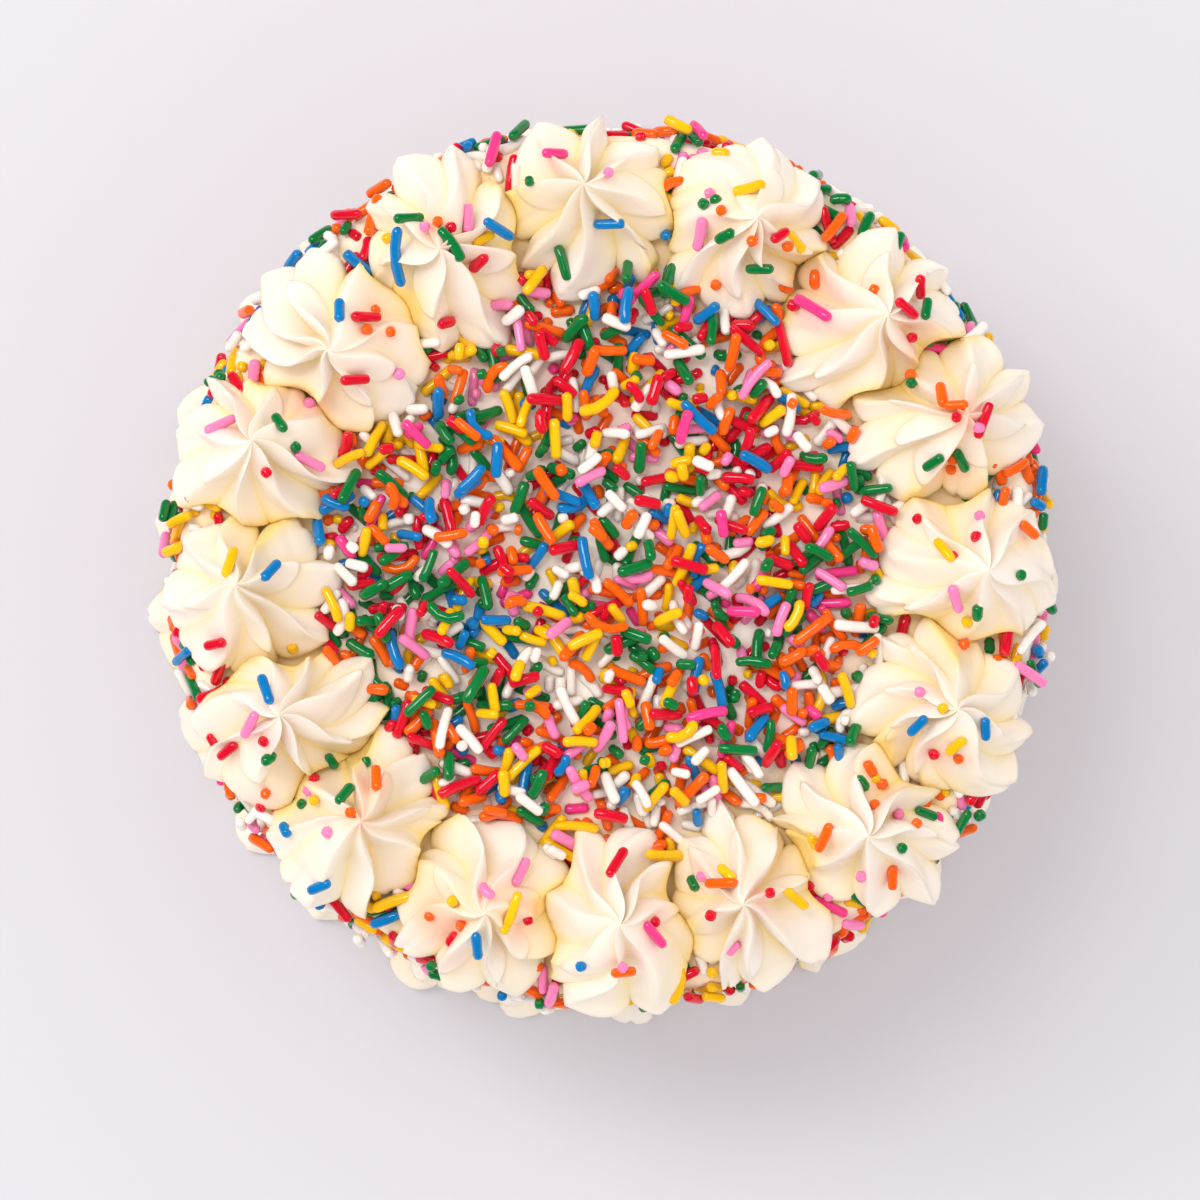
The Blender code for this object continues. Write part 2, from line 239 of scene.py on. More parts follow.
def knife_waves(cake, material):
    """Low waves left by the palette knife, along the normal, and none where the cake rests."""
    sizes = {
        "Wave height": WAVE_HEIGHT,
        "Waves per metre": WAVES_PER_METRE,
        "Level side": LEVEL_SIDE,
    }
    tree, given, out = named_tree("knife waves", sizes)
    place = add_node(tree, "GeometryNodeInputPosition").outputs["Position"]
    stretched = worked_out(tree, "ShaderNodeVectorMath", "MULTIPLY", place, WAVE_STRETCH)
    wave = noise_map(tree, stretched, given.outputs["Waves per metre"], 3.0, 0.5)
    centred = worked_out(tree, "ShaderNodeMath", "SUBTRACT", wave, 0.5)
    height = worked_out(tree, "ShaderNodeMath", "MULTIPLY", centred, given.outputs["Wave height"])
    split = add_node(tree, "ShaderNodeSeparateXYZ", {0: place})
    level = add_node(
        tree,
        "ShaderNodeMapRange",
        {"Value": split.outputs["Z"], "From Min": 0.0, "From Max": given.outputs["Level side"]},
    )
    held = worked_out(tree, "ShaderNodeMath", "MULTIPLY", height, level.outputs[0])
    normal = add_node(tree, "GeometryNodeInputNormal").outputs[0]
    shift = add_node(
        tree, "ShaderNodeVectorMath", {0: normal, "Scale": held}, operation="SCALE"
    )
    waved = add_node(
        tree,
        "GeometryNodeSetPosition",
        {"Geometry": given.outputs["Geometry"], "Offset": shift.outputs[0]},
    )
    finish_tree(tree, waved.outputs["Geometry"], out, material)
    return grown(cake, tree, sizes, material)


def point_values(mesh, name, values):
    """Stores one number for each point of the mesh."""
    layer = mesh.attributes.new(name, "FLOAT", "POINT")
    layer.data.foreach_set("value", np.ascontiguousarray(values, np.float32))


frosting = cream_material("frosting", FROSTING_PALE, FROSTING_CREASE_SHADE, FROSTING_TINT, FROSTING_ROUGHNESS)
cake = knife_waves(frosted_cake(), frosting)
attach(cake, "root")
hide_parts("cake_body")

# Piped swirls on the top
# Sixteen dollops of ivory buttercream from a large star nozzle, pressed down, turned a little and
# pulled up to a tip. Each leans on its neighbours. They stand for top_swirl_01 to top_swirl_16.
# Each swirl: bearing in degrees, distance of its middle from the cake's axis, length along and width
# across the ring's radius, twist of its petals in degrees, and how far its tip leans outward and
# sideways, all lengths in millimetres
TOP_SWIRLS = (
    (93.9, 62.1, 33.4, 32.8, 16, 1.9, 0.4),
    (68.5, 62.1, 34.5, 32.3, -14, 1.0, -1.4),
    (43.7, 60.2, 36.4, 33.1, 20, 2.2, -1.9),
    (23.4, 63.2, 35.2, 30.5, -22, 1.6, -0.9),
    (-0.2, 61.5, 35.1, 31.9, 14, 1.8, -1.0),
    (-23.5, 62.5, 35.1, 31.6, -10, 0.6, 0.7),
    (-45.8, 63.0, 34.5, 31.6, 24, -0.2, -1.2),
    (-67.8, 62.5, 35.5, 31.0, -18, -1.1, -1.4),
    (-88.7, 61.6, 36.2, 31.0, 12, -1.0, -0.1),
    (-110.6, 62.3, 35.1, 31.4, -20, 0.4, 0.6),
    (-134.1, 62.2, 36.3, 32.3, 18, -1.8, -0.2),
    (-154.2, 61.8, 36.0, 31.0, -12, -0.3, -1.3),
    (-174.8, 62.5, 34.0, 31.2, 22, 0.7, -2.2),
    (162.3, 63.0, 34.8, 30.8, -16, 1.0, -1.2),
    (140.8, 60.0, 35.2, 31.9, 14, -0.4, 2.6),
    (116.7, 61.0, 36.8, 33.1, -24, -0.8, 2.2),
)

# How many petals, levels and points on a petal a swirl has, and the seeds of what is drawn for it
TOP_SWIRL_HEIGHT = 21.5 * MM
TOP_PETALS = 8
TOP_SEED = 100
FOLD_SEED = 50
CURL_SEED = 80
TOP_LEVELS = 64
TOP_SAMPLES = 24
LEVEL_POWER = 1.25

# Petals: how far their edges stray, their length beside the half width, and how far the crest lies from
# the middle, at mid height
EDGE_STRAY = 0.24
PETAL_SHORTEST = 0.88
PETAL_LONGEST = 1.08
CREST_LEAST = 0.10
CREST_MOST = 0.42

# Crest of a petal: a pointed dome, widest at foot height and tucked in below it, leaning and curling
DOME_POWER = 1.15
DOME_ROUND = 0.90
FOOT_TUCK = 0.12
FOOT_HEIGHT = 0.14
LEAN_POWER = 1.3
CURL_LEAST = 0.25
CURL_MOST = 0.6
CURL_POWER = 1.5

# Star section: lobes near the foot that turn into ridges between deep valleys higher up. Depths are
# shares of the radius. One flank of a petal is steep, because the crest lies off the middle.
LOBE_DEPTH = 0.22
LOBE_ROUND = 2.6
LOBE_STEEP = 1.3
LOBE_HEIGHT = 0.18
RIDGE_DEPTH = 0.56
RIDGE_ROUND = 1.1
RIDGE_STEEP = 0.9
RIDGE_START = 0.45
RIDGE_GROWTH = 1.1
CREST_SHIFT = 1.8
CREST_START = 0.65
CREST_GROWTH = 1.5
SLIT_DEPTH = 0.05
SLIT_WIDTH = 0.06

# Folds round a petal, with a bulge above and a nick below, notches in its rim, and the crease beside
# it, as shares of the petal's width, the swirl's height or the radius
FOLD_STRENGTHS = (0.0, 0.0, 0.6, 1.0)
FOLD_LOWEST = 0.28
FOLD_HIGHEST = 0.50
FOLD_SAG = 0.16
FOLD_EDGE = 0.012
BULGE = 0.05
BULGE_FADE = 0.16
NICK = 0.09
NICK_FADE = 0.10
# Painted warm shade in the nick under a fold, as a multiple of the nick's depth
NICK_SHADE = 4
RIM_NOTCHES = (0.0, 0.04, 0.09)
RIM_NOTCH_PLACE = 0.5
RIM_NOTCH_WIDTH = 0.06
RIM_NOTCH_TOP = 0.42
CREASE_SHALLOWEST = 0.45
CREASE_DEEPEST = 1.25
CREASE_WANDER = 0.30
CREASE_WAVES = 1.6
# Painted warm shade in the deep valleys between petals: its strength beside the valley's depth, and how it
# fades towards the tip
VALLEY_SHADE = 1.8
VALLEY_SHADE_TOP = 1.30

# Uneven cream: waves in a metre, how far they move it, and the step between their places
WOBBLE_WAVES = 110
WOBBLE_SIDEWAYS = 0.9 * MM
WOBBLE_UPWARD = 0.5 * MM
WOBBLE_STEP = 41.3
FINE_WAVES = 420
FINE_SHARE = 0.010
SEED_STEP = 3.7

# Where two swirls meet: the wavy seam between them, and how far the painted warm shade along it reaches
CONTACT = 0.18 * MM
SEAM_SWING = 1.5 * MM
SEAM_RIPPLE = 0.6 * MM
SEAM_WAVE = 2.6 * MM
SEAM_LEAN_LEAST = 0.12
SEAM_LEAN_MOST = 0.3
SEAM_MIDDLE = 7 * MM
SEAM_SHADE_REACH = 1.3 * MM

# Where a swirl follows the cake's shoulder down: the part of it that counts, and how fast it fades
SHOULDER_PART = 0.9
SHOULDER_FADE = 2.5

# The piped cream's own colours, the painted warm shade in its creases and seams, and its roughness
CREAM_PALE = (0.895, 0.797, 0.705)
CREAM_TINT = (0.895, 0.787, 0.64)
CREAM_CREASE_SHADE = (0.905, 0.68, 0.235)
PIPED_ROUGHNESS = 0.42


def petals_of(count, seed):
    """For each petal of a swirl: start angle, end angle, length factor and place of its crest."""
    rng = random.Random(seed)
    edges = [math.tau * (k + rng.uniform(-EDGE_STRAY, EDGE_STRAY)) / count for k in range(count)]
    edges.append(edges[0] + math.tau)
    side = rng.choice((-1, 1))
    petals = []
    for start, end in zip(edges, edges[1:]):
        length = rng.uniform(PETAL_SHORTEST, PETAL_LONGEST)
        petals.append((start, end, length, side * rng.uniform(CREST_LEAST, CREST_MOST)))
    return petals


def folds_of(count, seed):
    """For each petal: strength and height of its fold, depth and place of its notch, and its crease."""
    rng = random.Random(seed)
    folds = []
    for _ in range(count):
        fold = (rng.choice(FOLD_STRENGTHS), rng.uniform(FOLD_LOWEST, FOLD_HIGHEST))
        notch = (rng.choice(RIM_NOTCHES), rng.uniform(-RIM_NOTCH_PLACE, RIM_NOTCH_PLACE))
        cut = rng.uniform(CREASE_SHALLOWEST, CREASE_DEEPEST)
        crease_and_shade = (cut, rng.uniform(-CREASE_WANDER, CREASE_WANDER), rng.uniform(0, 1))
        folds.append((fold, notch, crease_and_shade))
    return folds


def crest_radius(rise):
    """The petal crest's distance from the swirl's middle, as a share of its half width."""
    low = 1 - FOOT_TUCK * (1 - np.minimum(rise / FOOT_HEIGHT, 1)) ** 2
    above = np.clip((rise - FOOT_HEIGHT) / (1 - FOOT_HEIGHT), 0, 1)
    return np.where(rise < FOOT_HEIGHT, low, (1 - above**DOME_POWER) ** DOME_ROUND)


def swirl_star(petals, folds, levels, samples, twist, curl):
    """Radius share, angle and painted crease shade of each point, as arrays of level by point round the
    swirl.
    """
    rise = levels[:, None]
    across = -np.cos(np.linspace(0, math.pi, samples, endpoint=False))[None, :]
    spread_out = np.exp(-((rise / LOBE_HEIGHT) ** 2))
    depth = RIDGE_DEPTH * np.clip(RIDGE_START + RIDGE_GROWTH * rise, 0, 1)
    shift = CREST_SHIFT * np.clip(CREST_START + CREST_GROWTH * rise, 0, 1)
    turn = math.radians(twist) * (1 - rise) + curl * np.sin(math.pi * rise**CURL_POWER)
    width = math.tau / len(petals)
    shares, angles, crease_shades = [], [], []
    for k, (start, end, length, crest) in enumerate(petals):
        (strength, height), (notch, split), (cut, wander, phase) = folds[k]
        _, _, (cut_after, wander_after, phase_after) = folds[(k + 1) % len(folds)]
        place = shift * crest
        off = np.abs((across - place) / np.where(across > place, 1 - place, 1 + place))
        steep = (across - place) * crest > 0
        cut_here = np.where(across > place, cut_after, cut)
        ridge = depth * np.sin(off * math.pi / 2) ** np.where(steep, RIDGE_STEEP, RIDGE_ROUND)
        lobe = LOBE_DEPTH * off ** np.where(steep, LOBE_STEEP, LOBE_ROUND)
        groove = cut_here * (ridge * (1 - spread_out) + lobe * spread_out)
        # Painted warm shade, strongest in the deep valleys next to each crease and fading towards the tip
        valley_shade = np.clip(VALLEY_SHADE * groove, 0, 1) * off**3 * np.clip(VALLEY_SHADE_TOP - rise, 0, 1)
        groove += SLIT_DEPTH * np.exp((off - 1) / SLIT_WIDTH) * spread_out
        reach = 1 + (length - 1) * (1 - rise) * (1 - off**2)
        fade = np.clip(1 - off**2, 0, 1) * strength
        over = rise - height - FOLD_SAG * across**2
        step = 0.5 + 0.5 * np.tanh(over / FOLD_EDGE)
        bulge = BULGE * np.exp(-np.maximum(over, 0) / BULGE_FADE) * step
        nick = NICK * np.exp(-((np.minimum(over, 0) / NICK_FADE) ** 2)) * (1 - step)
        rim = notch * np.exp(-np.abs(across - split) / RIM_NOTCH_WIDTH)
        rim = rim * np.clip(1 - rise / RIM_NOTCH_TOP, 0, 1)
        share = crest_radius(rise) * reach * (1 - groove) * (1 + fade * (bulge - nick)) - rim
        sway, sway_after = (np.sin(math.pi * (CREASE_WAVES * rise + p)) for p in (phase, phase_after))
        first = start + wander * width * sway
        last = end + wander_after * width * sway_after
        shares.append(share)
        angles.append(first + (last - first) * (across + 1) / 2 + turn)
        # Painted warm shade of the valleys and of the nicks under the folds
        crease_shades.append(np.clip(valley_shade + fade * nick * NICK_SHADE, 0, 1))
    return [np.concatenate(block, axis=1) for block in (shares, angles, crease_shades)]


def noise_at(points, waves, offset):
    """Smooth noise at each point, -1 to 1, with that many waves in a metre."""
    return np.array([noise.noise(Vector(p) * waves + Vector(offset)) for p in points.tolist()])


def swirl_points(petals, folds, levels, samples, sizes, twist, curl, lean, seed):
    """The dollop's points in rings from the foot up, +X outward, and the painted warm shade in their
    creases.
    """
    half_length, half_width, height = sizes
    share, angle, crease_and_shade = swirl_star(petals, folds, levels, samples, twist, curl)
    rise = levels[:, None]
    x = half_length * share * np.cos(angle)
    y = half_width * share * np.sin(angle)
    z = height * rise + 0 * x
    points = np.stack([x, y, z], axis=-1)
    shape = points.shape
    flat = points.reshape(-1, 3)
    offsets = [(seed * SEED_STEP, WOBBLE_STEP * k, 0) for k in range(3)]
    wobble = np.stack([noise_at(flat, WOBBLE_WAVES, offset) for offset in offsets], axis=-1)
    fine = noise_at(flat, FINE_WAVES, offsets[0])
    grow = np.linalg.norm(flat[:, :2], axis=1) / half_width
    flat[:, :2] += wobble[:, :2] * WOBBLE_SIDEWAYS * grow[:, None]
    held = np.sin(math.pi * np.clip(flat[:, 2] / height, 0, 1))
    flat[:, 2] += wobble[:, 2] * WOBBLE_UPWARD * held
    flat[:, :2] *= (1 + FINE_SHARE * fine)[:, None]
    points = flat.reshape(shape)
    points[..., 0] += lean[0] * rise**LEAN_POWER
    points[..., 1] += lean[1] * rise**LEAN_POWER
    return points, crease_and_shade


def set_on_ring(points, bearing, distance, floor):
    """Turns the points to that bearing, at that distance from the cake's axis and at that height."""
    turned = points.copy()
    outward = points[..., 0] + distance
    turned[..., 0] = outward * math.cos(bearing) - points[..., 1] * math.sin(bearing)
    turned[..., 1] = outward * math.sin(bearing) + points[..., 1] * math.cos(bearing)
    turned[..., 2] += floor
    return turned


def pressed(room):
    """How far cream moves back from what it is pressed against, for the room that it has there."""
    return np.where(room < CONTACT, CONTACT * np.exp((room - CONTACT) / CONTACT) - room, 0)


def contact_wave(points, seed, floor):
    """Where two dollops meet, sideways from the line half-way between them."""
    out = np.linalg.norm(points[..., :2], axis=-1)
    up = points[..., 2] - floor
    rng = random.Random(seed)
    phase = rng.uniform(0, math.tau)
    lean = rng.choice((-1, 1)) * rng.uniform(SEAM_LEAN_LEAST, SEAM_LEAN_MOST)
    swing = SEAM_SWING * np.sin(out / SEAM_WAVE + phase)
    ripple = SEAM_RIPPLE * np.sin(up / SEAM_WAVE + phase)
    return swing + ripple + lean * (up - SEAM_MIDDLE)


def press_to_neighbour(points, crease_and_shade, bearing, side, wave):
    """Presses points back from a wavy plane at that bearing and adds painted warm shade to them there. side
    is 1 or -1.
    """
    normal = np.array((-math.sin(bearing), math.cos(bearing))) * side
    room = points[..., :2] @ normal - side * wave
    points[..., :2] += pressed(room)[..., None] * normal
    # Painted warm shade along the seam, fading away from it
    near = np.exp(-np.maximum(room + pressed(room), 0) / SEAM_SHADE_REACH)
    return np.clip(crease_and_shade + near, 0, 1)


def dollop_mesh(name, points, crease_and_shade, tip, foot):
    """Closes the rings with a pointed tip and a flat underside."""
    rings, count = points.shape[:2]
    everything = np.concatenate([points.reshape(-1, 3), [tip, foot]])
    index = np.arange(rings * count).reshape(rings, count)
    after = np.roll(index, -1, axis=1)
    quads = np.stack([index[:-1], after[:-1], after[1:], index[1:]], axis=-1).reshape(-1, 4)
    top = [(a, b, rings * count) for a, b in zip(index[-1], after[-1])]
    bottom = [(b, a, rings * count + 1) for a, b in zip(index[0], after[0])]
    mesh = bpy.data.meshes.new(name)
    mesh.from_pydata(everything.tolist(), [], quads.tolist() + top + bottom)
    mesh.shade_smooth()
    # Stores the painted warm shade of the creases and seams for the cream material
    point_values(mesh, "crease_and_shade", np.append(crease_and_shade.ravel(), (0.0, 0.0)))
    return mesh


def swirl_levels(count):
    """Heights of the rings, closer together near the tip."""
    share = np.linspace(0, 1, count, endpoint=False)
    return 1 - (1 - share) ** LEVEL_POWER


def between(first, second):
    """The bearing half-way from the first bearing to the second, both in radians."""
    return first + math.remainder(second - first, math.tau) / 2


def ring_bearings(n):
    """Bearings of top swirl n and of the seams on its low and its high side, in radians."""
    count = len(TOP_SWIRLS)
    bearing, after, before = (math.radians(TOP_SWIRLS[k % count][0]) for k in (n, n + 1, n - 1))
    return bearing, between(bearing, after), between(bearing, before)


def top_swirl(n, material):
    _, distance, length, width, twist, out, side = TOP_SWIRLS[n]
    bearing, low, high = ring_bearings(n)
    petals = petals_of(TOP_PETALS, TOP_SEED + n)
    folds = folds_of(TOP_PETALS, TOP_SEED + FOLD_SEED + n)
    curl = random.Random(TOP_SEED + CURL_SEED + n).uniform(CURL_LEAST, CURL_MOST)
    curl *= math.copysign(1, twist)
    sizes = (length * MM / 2, width * MM / 2, TOP_SWIRL_HEIGHT)
    levels = swirl_levels(TOP_LEVELS)
    lean = (out * MM, side * MM)
    points, crease_and_shade = swirl_points(
        petals, folds, levels, TOP_SAMPLES, sizes, twist, curl, lean, TOP_SEED + n
    )
    ends = np.array([(*lean, TOP_SWIRL_HEIGHT), (0, 0, 0)])
    points = set_on_ring(points, bearing, distance * MM, CAKE_HEIGHT)
    ends = set_on_ring(ends, bearing, distance * MM, CAKE_HEIGHT)
    wave_low = contact_wave(points, TOP_SEED + n, CAKE_HEIGHT)
    wave_high = contact_wave(points, TOP_SEED + (n - 1) % len(TOP_SWIRLS), CAKE_HEIGHT)
    crease_and_shade = press_to_neighbour(points, crease_and_shade, low, 1, wave_low)
    crease_and_shade = press_to_neighbour(points, crease_and_shade, high, -1, wave_high)
    past = np.linalg.norm(points[..., :2], axis=-1) - (CAKE_RADIUS - SHOULDER_RADIUS)
    past = np.clip(past, 0, SHOULDER_PART * SHOULDER_RADIUS)
    drop = SHOULDER_RADIUS - np.sqrt(SHOULDER_RADIUS**2 - past**2)
    points[..., 2] -= drop * (1 - levels[:, None]) ** SHOULDER_FADE
    name = f"cream_swirl_{n + 1:02d}"
    swirl = linked_object(name, dollop_mesh(name, points, crease_and_shade, ends[0], ends[1]))
    swirl.data.materials.append(material)
    return swirl


piped_cream = cream_material("piped_cream", CREAM_PALE, CREAM_CREASE_SHADE, CREAM_TINT, PIPED_ROUGHNESS)
top_swirls = []
for n in range(len(TOP_SWIRLS)):
    swirl = top_swirl(n, piped_cream)
    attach(swirl, "root")
    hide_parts(f"top_swirl_{n + 1:02d}")
    top_swirls.append(swirl)

# Border at the foot
# Twenty-five smaller star dollops of the same buttercream, piped against the side of the cake.
# They stand for base_swirl_01 to base_swirl_25.
BASE_SWIRLS = 25
BASE_SWIRL_HEIGHT = 16 * MM
BASE_SWIRL_WIDTH = 25 * MM
BASE_RING_RADIUS = 76.2 * MM
BASE_TWIST = 12
BASE_TURN_EVERY = 3
BASE_CURL = 0.3
BASE_LEAN = 0.4 * MM
BASE_PETALS = 6
BASE_SEED = 200
BASE_LEVELS = 40
BASE_SAMPLES = 22
BORDER_PALE = (0.885, 0.794, 0.70)


def base_swirl(n, material):
    step = math.tau / BASE_SWIRLS
    bearing = n * step
    petals = petals_of(BASE_PETALS, BASE_SEED + n)
    folds = folds_of(BASE_PETALS, BASE_SEED + FOLD_SEED + n)
    twist = BASE_TWIST if n % BASE_TURN_EVERY else -BASE_TWIST
    sizes = (BASE_SWIRL_WIDTH / 2, BASE_SWIRL_WIDTH / 2, BASE_SWIRL_HEIGHT)
    levels = swirl_levels(BASE_LEVELS)
    lean = (BASE_LEAN, 0)
    curl = BASE_CURL * math.copysign(1, twist)
    points, crease_and_shade = swirl_points(
        petals, folds, levels, BASE_SAMPLES, sizes, twist, curl, lean, BASE_SEED + n
    )
    points = set_on_ring(points, bearing, BASE_RING_RADIUS, 0)
    ends = np.array([(*lean, BASE_SWIRL_HEIGHT), (0, 0, 0)])
    ends = set_on_ring(ends, bearing, BASE_RING_RADIUS, 0)
    wave_low = contact_wave(points, BASE_SEED + n, 0)
    wave_high = contact_wave(points, BASE_SEED + (n + 1) % BASE_SWIRLS, 0)
    crease_and_shade = press_to_neighbour(points, crease_and_shade, bearing - step / 2, 1, wave_low)
    crease_and_shade = press_to_neighbour(points, crease_and_shade, bearing + step / 2, -1, wave_high)
    out = np.linalg.norm(points[..., :2], axis=-1)
    off_wall = pressed(out - CAKE_RADIUS)
    points[..., :2] *= (1 + off_wall / out)[..., None]
    name = f"cream_border_{n + 1:02d}"
    swirl = linked_object(name, dollop_mesh(name, points, crease_and_shade, ends[0], ends[1]))
    swirl.data.materials.append(material)
    return swirl


border_cream = cream_material("border_cream", BORDER_PALE, CREAM_CREASE_SHADE, CREAM_TINT, PIPED_ROUGHNESS)
base_swirls = []
for n in range(BASE_SWIRLS):
    swirl = base_swirl(n, border_cream)
    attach(swirl, "root")
    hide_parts(f"base_swirl_{n + 1:02d}")
    base_swirls.append(swirl)

# Shade where the dollops sit on the cake
# Light comes back warm from the narrow corners between two creams, so the frosting is amber there.
CORNER_REACH = 2.2 * MM


def joined_tree(objects):
    """One search tree over the faces of all the objects."""
    points, faces = [], []
    for obj in objects:
        start = len(points)
        points += [vert.co for vert in obj.data.vertices]
        faces += [[start + k for k in face.vertices] for face in obj.data.polygons]
    return BVHTree.FromPolygons(points, faces)


def shade_corners(obj, dollops):
    """Marks the points of obj that lie close to a dollop."""
    tree = joined_tree(dollops)
    away = np.array([tree.find_nearest(vert.co)[3] for vert in obj.data.vertices])
    point_values(obj.data, "crease_and_shade", np.exp(-away / CORNER_REACH))


shade_corners(cake, top_swirls + base_swirls)

# Sugar sprinkles
# Round sugar rods in eight colours, about 1.8 mm thick and mostly 4 to 8 mm long, some bent, some
# only dots. They are strewn over the soft cream, sink into it a little and lie on one another. The
# large ones are the same as those fused to the solids.
SPRINKLE_RADIUS = 0.88 * MM
SPRINKLE_LONGEST = 7.6 * MM
SPRINKLE_SHORTEST = 4.6 * MM
SPRINKLE_LIFT = 0.15 * MM
FIELD_RADIUS = 42.5 * MM
FIELD_COUNT = 80
FIELD_SEED = 11
WALL_COUNT = 30
WALL_SEED = 12
WALL_LOW = 24 * MM
WALL_HIGH = 82 * MM

# Large ones on a top swirl: their length and their reach from its middle as shares of the longest and of
# the half width, how far apart they fall, and the least upward part of the normal that holds one
SWIRL_SPRINKLES = 3
SWIRL_SPRINKLE_SEED = 300
SHAPE_SEED = 50
SWIRL_SPRINKLE_SPACING = 4.5 * MM
SWIRL_SPRINKLE_LENGTH = 0.85
SWIRL_SPRINKLE_NEAR = 0.30
SWIRL_SPRINKLE_FAR = 0.78
SWIRL_SPRINKLE_LEVEL = 0.35
SWIRL_SPRINKLE_TRIES = 200
CANDIDATES = 14

# Colours of the sugar, and the share of each in the mix
COLOURS = {
    "red": ((0.68, 0.003, 0.022), 0.16),
    "orange": ((0.98, 0.118, 0.002), 0.20),
    "yellow": ((0.96, 0.49, 0.002), 0.14),
    "green": ((0.001, 0.170, 0.034), 0.155),
    "blue": ((0.001, 0.180, 0.48), 0.075),
    "rose": ((0.92, 0.045, 0.24), 0.03),
    "pink": ((0.97, 0.22, 0.46), 0.065),
    "white": ((0.88, 0.79, 0.72), 0.175),
}
SAME_COLOUR = 0.20

# One rod: how its thickness and its bend vary, how many are hooks, and its blunt ends
ROD_SIDES = 8
THINNEST = 0.94
THICKEST = 1.17
BEND = 0.035
LARGE_BEND = 0.02
HOOK_SHARE = 0.08
HOOK_LEAST = 0.12
HOOK_MOST = 0.30
BENT_FROM = 2.5 * MM
END_ROUND = 0.8
END_MOST = 0.30
END_STEP = 0.35
END_THICKNESS = (0.45, 0.84)
BODY_STEP = 0.33
UNEVEN = 0.05

# Lengths: dots, broken bits, and whole rods with the length that most have
DOT_SHARE = 0.14
DOT_SHORTEST = 1.3 * MM
DOT_LONGEST = 2.2 * MM
BROKEN_SHARE = 0.26
BROKEN_SHORTEST = 2.4 * MM
BROKEN_LONGEST = 4.0 * MM
WHOLE_SHORTEST = 3.8 * MM
WHOLE_LONGEST = 8.4 * MM
WHOLE_USUAL = 5.2 * MM

# How rods come to rest: where along and across a rod it can touch what is under it, the steepest that
# it lies, and how deep it sinks into cream, or between other rods, as a share of its radius
CELL = 0.4 * MM
TOUCH_HALF = 0.46
TOUCH_STEPS = 9
TOUCH_ACROSS = 0.6
STEEPEST = 0.55
RESTING_TRIES = 3
SLOPE_COST = 2 * MM
ON_CREAM = 0.3 * MM
SUNK_IN_CREAM = (0.3, 1.1)
SUNK_IN_RODS = (0.05, 0.25)


def spread(draw, count, distance, fits):
    """The longest sprinkles first, each at whichever of several draws lies farthest from the others."""
    chosen = []
    for n in range(count):
        length = SPRINKLE_LONGEST - (SPRINKLE_LONGEST - SPRINKLE_SHORTEST) * n / count
        best = None
        for _ in range(CANDIDATES):
            candidate = draw()
            if not fits(candidate, length):
                continue
            room = min((distance(candidate, other) for other in chosen), default=1.0)
            if best is None or room > best[0]:
                best = (room, candidate, length)
        if best:
            chosen.append((*best[1], best[2]))
    return chosen


def field_sprinkles():
    """The large ones on the flat top: x, y, heading and length."""
    rng = random.Random(FIELD_SEED)

    def draw():
        reach = FIELD_RADIUS * math.sqrt(rng.random())
        bearing = rng.uniform(0, math.tau)
        return reach * math.cos(bearing), reach * math.sin(bearing), rng.uniform(0, math.pi)

    def fits(place, length):
        x, y, heading = place
        dx = math.cos(heading) * length / 2
        dy = math.sin(heading) * length / 2
        return max(math.hypot(x + dx, y + dy), math.hypot(x - dx, y - dy)) < FIELD_RADIUS

    def distance(one, other):
        return math.hypot(one[0] - other[0], one[1] - other[1])

    return spread(draw, FIELD_COUNT, distance, fits)


def wall_sprinkles():
    """The large ones on the side: bearing, height, heading and length."""
    rng = random.Random(WALL_SEED)

    def draw():
        return rng.uniform(0, math.tau), rng.uniform(WALL_LOW, WALL_HIGH), rng.uniform(0, math.pi)

    def fits(place, length):
        rise = abs(math.sin(place[2])) * length / 2
        return WALL_LOW < place[1] - rise and place[1] + rise < WALL_HIGH

    def distance(one, other):
        turn = math.remainder(one[0] - other[0], math.tau)
        return math.hypot(turn * CAKE_RADIUS, one[1] - other[1])

    return spread(draw, WALL_COUNT, distance, fits)


class Bed:
    """A height map of what lies on the cream, on which rods come to rest. It repeats along x."""

    def __init__(self, width, depth):
        self.low = -depth / 2
        self.heights = np.zeros((round(width / CELL), round(depth / CELL)))

    def cells(self, x, y):
        column = np.floor(x / CELL).astype(int) % self.heights.shape[0]
        row = np.clip(np.floor((y - self.low) / CELL).astype(int), 0, self.heights.shape[1] - 1)
        return column, row

    def rest(self, x, y, heading, length, radius):
        """Height of the rod's underside at its middle, and its slope, when it rests on two points."""
        s = np.linspace(-TOUCH_HALF, TOUCH_HALF, TOUCH_STEPS)[:, None] * length
        t = np.array((-TOUCH_ACROSS, 0.0, TOUCH_ACROSS))[None, :] * radius
        c, d = math.cos(heading), math.sin(heading)
        found = self.heights[self.cells(x + s * c - t * d, y + s * d + t * c)]
        found = (found - (radius - np.sqrt(radius**2 - t**2))).max(axis=1)
        return resting_line(s[:, 0], found)

    def settle(self, x, y, heading, length, radius, middle, slope):
        reach = length / 2 + radius
        grid = np.arange(-reach, reach, CELL)
        dx, dy = np.meshgrid(grid, grid, indexing="ij")
        c, d = math.cos(heading), math.sin(heading)
        s, t = dx * c + dy * d, dy * c - dx * d
        inside = (np.abs(s) < length / 2) & (np.abs(t) < radius)
        s, t = s[inside], t[inside]
        top = middle + slope * s + radius + np.sqrt(radius**2 - t**2)
        np.maximum.at(self.heights, self.cells(x + dx[inside], y + dy[inside]), top)


